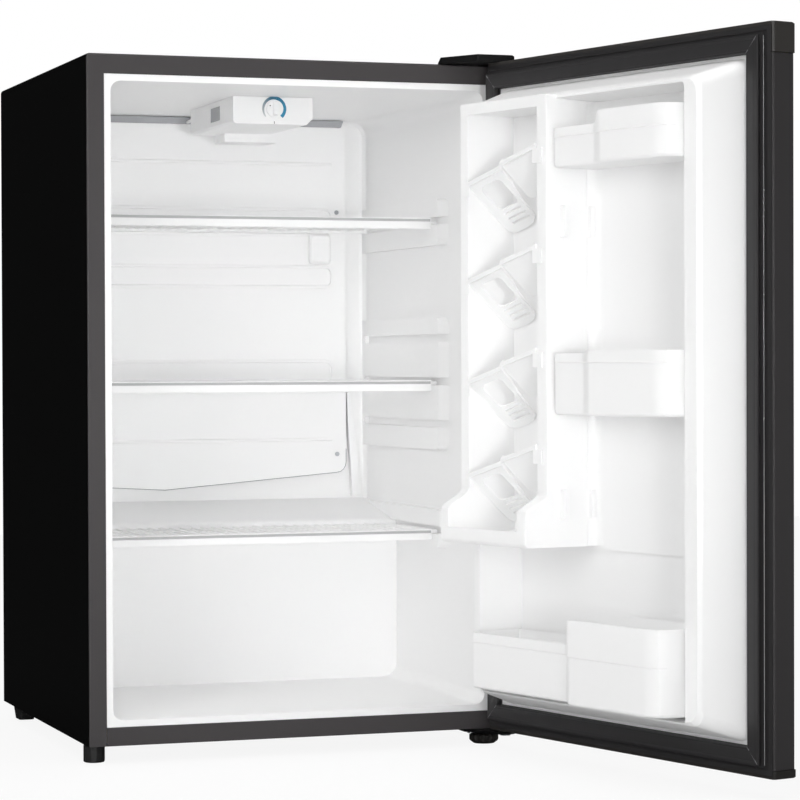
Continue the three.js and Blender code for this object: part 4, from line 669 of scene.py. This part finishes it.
# The knob's skirt is drawn in, so that the print shows at its full width
def drawInSkirt(middle):
    for vert in pieces["thermostat_knob"].data.vertices:
        spot = cabinetPlace.inverted() @ vert.co
        away = Vector((spot.x - middle.x, 0, spot.z - middle.z))
        if away.length > dial["skirt"]:
            vert.co = cabinetPlace @ (spot - away + away.normalized() * dial["skirt"])


def makeDial():
    low, high = localBox("thermostat_knob", cabinetPlace)
    middle = (low + high) / 2
    front = localBox("thermostat_housing", cabinetPlace)[0].y - dial["proud"]
    drawInSkirt(middle)
    arc = bmesh.new()
    arc.loops.layers.uv.new("along")
    bmesh.ops.create_grid(arc, x_segments=dial["steps"], y_segments=1, size=0.5, calc_uvs=True)
    for vert in arc.verts:
        share, across = vert.co.x + 0.5, vert.co.y + 0.5
        angle = math.radians(dial["start"] + (dial["end"] - dial["start"]) * share)
        width = dial["thin"] + (dial["broad"] - dial["thin"]) * share ** dial["swell"]
        radius = dial["outer"] - across * width
        vert.co = Vector((middle.x + radius * math.cos(angle), front, middle.z + radius * math.sin(angle)))
    makePiece("dial_arc", settle(arc, cabinetPlace), [dialInk], "cabinet")
    mark = bmesh.new()
    addBlock(mark, (middle.x - dial["markHalf"], front, middle.z - dial["markFar"]),
             (middle.x + dial["markHalf"], front + dial["markThick"], middle.z - dial["markNear"]))
    makePiece("dial_mark", settle(mark, cabinetPlace), [markInk], "cabinet")
    dot = bmesh.new()
    x, z = middle.x - dial["dotLeft"], middle.z + dial["dotUp"]
    addRod(dot, (x, low.y + dial["dotFront"], z), (x, low.y + dial["dotBack"], z), dial["dotRadius"])
    makePiece("knob_dot", settle(dot, cabinetPlace), [markInk], "temperature_knob")


makeDial()

# A grey strip in the gap over the evaporator plate: painted shade, standing for the shadow in that gap
gapShade = {"left": 12, "inset": 6, "overlap": 9, "behind": 6, "front": 1, "gap": 0.4, "step": 5, "top": 8.2,
        "slope": 4}


def makeGapShade():
    back, foot, top = plateHigh.y + gapShade["behind"], plateHigh.z + gapShade["gap"], plateHigh.z + gapShade["top"]
    mesh = bmesh.new()
    addPrism(mesh, [
        (plateLow.y - gapShade["overlap"], top), (plateLow.y + gapShade["front"], foot), (back, foot),
        (back, plateHigh.z + gapShade["step"]), (back - gapShade["slope"], top)],
        "x", plateLow.x - gapShade["left"], plateHigh.x - gapShade["inset"])
    makePiece("evaporator_gap_painted_shade", settle(mesh, cabinetPlace), [gapShadeFoam], "cabinet")


makeGapShade()
print("small pieces ready")
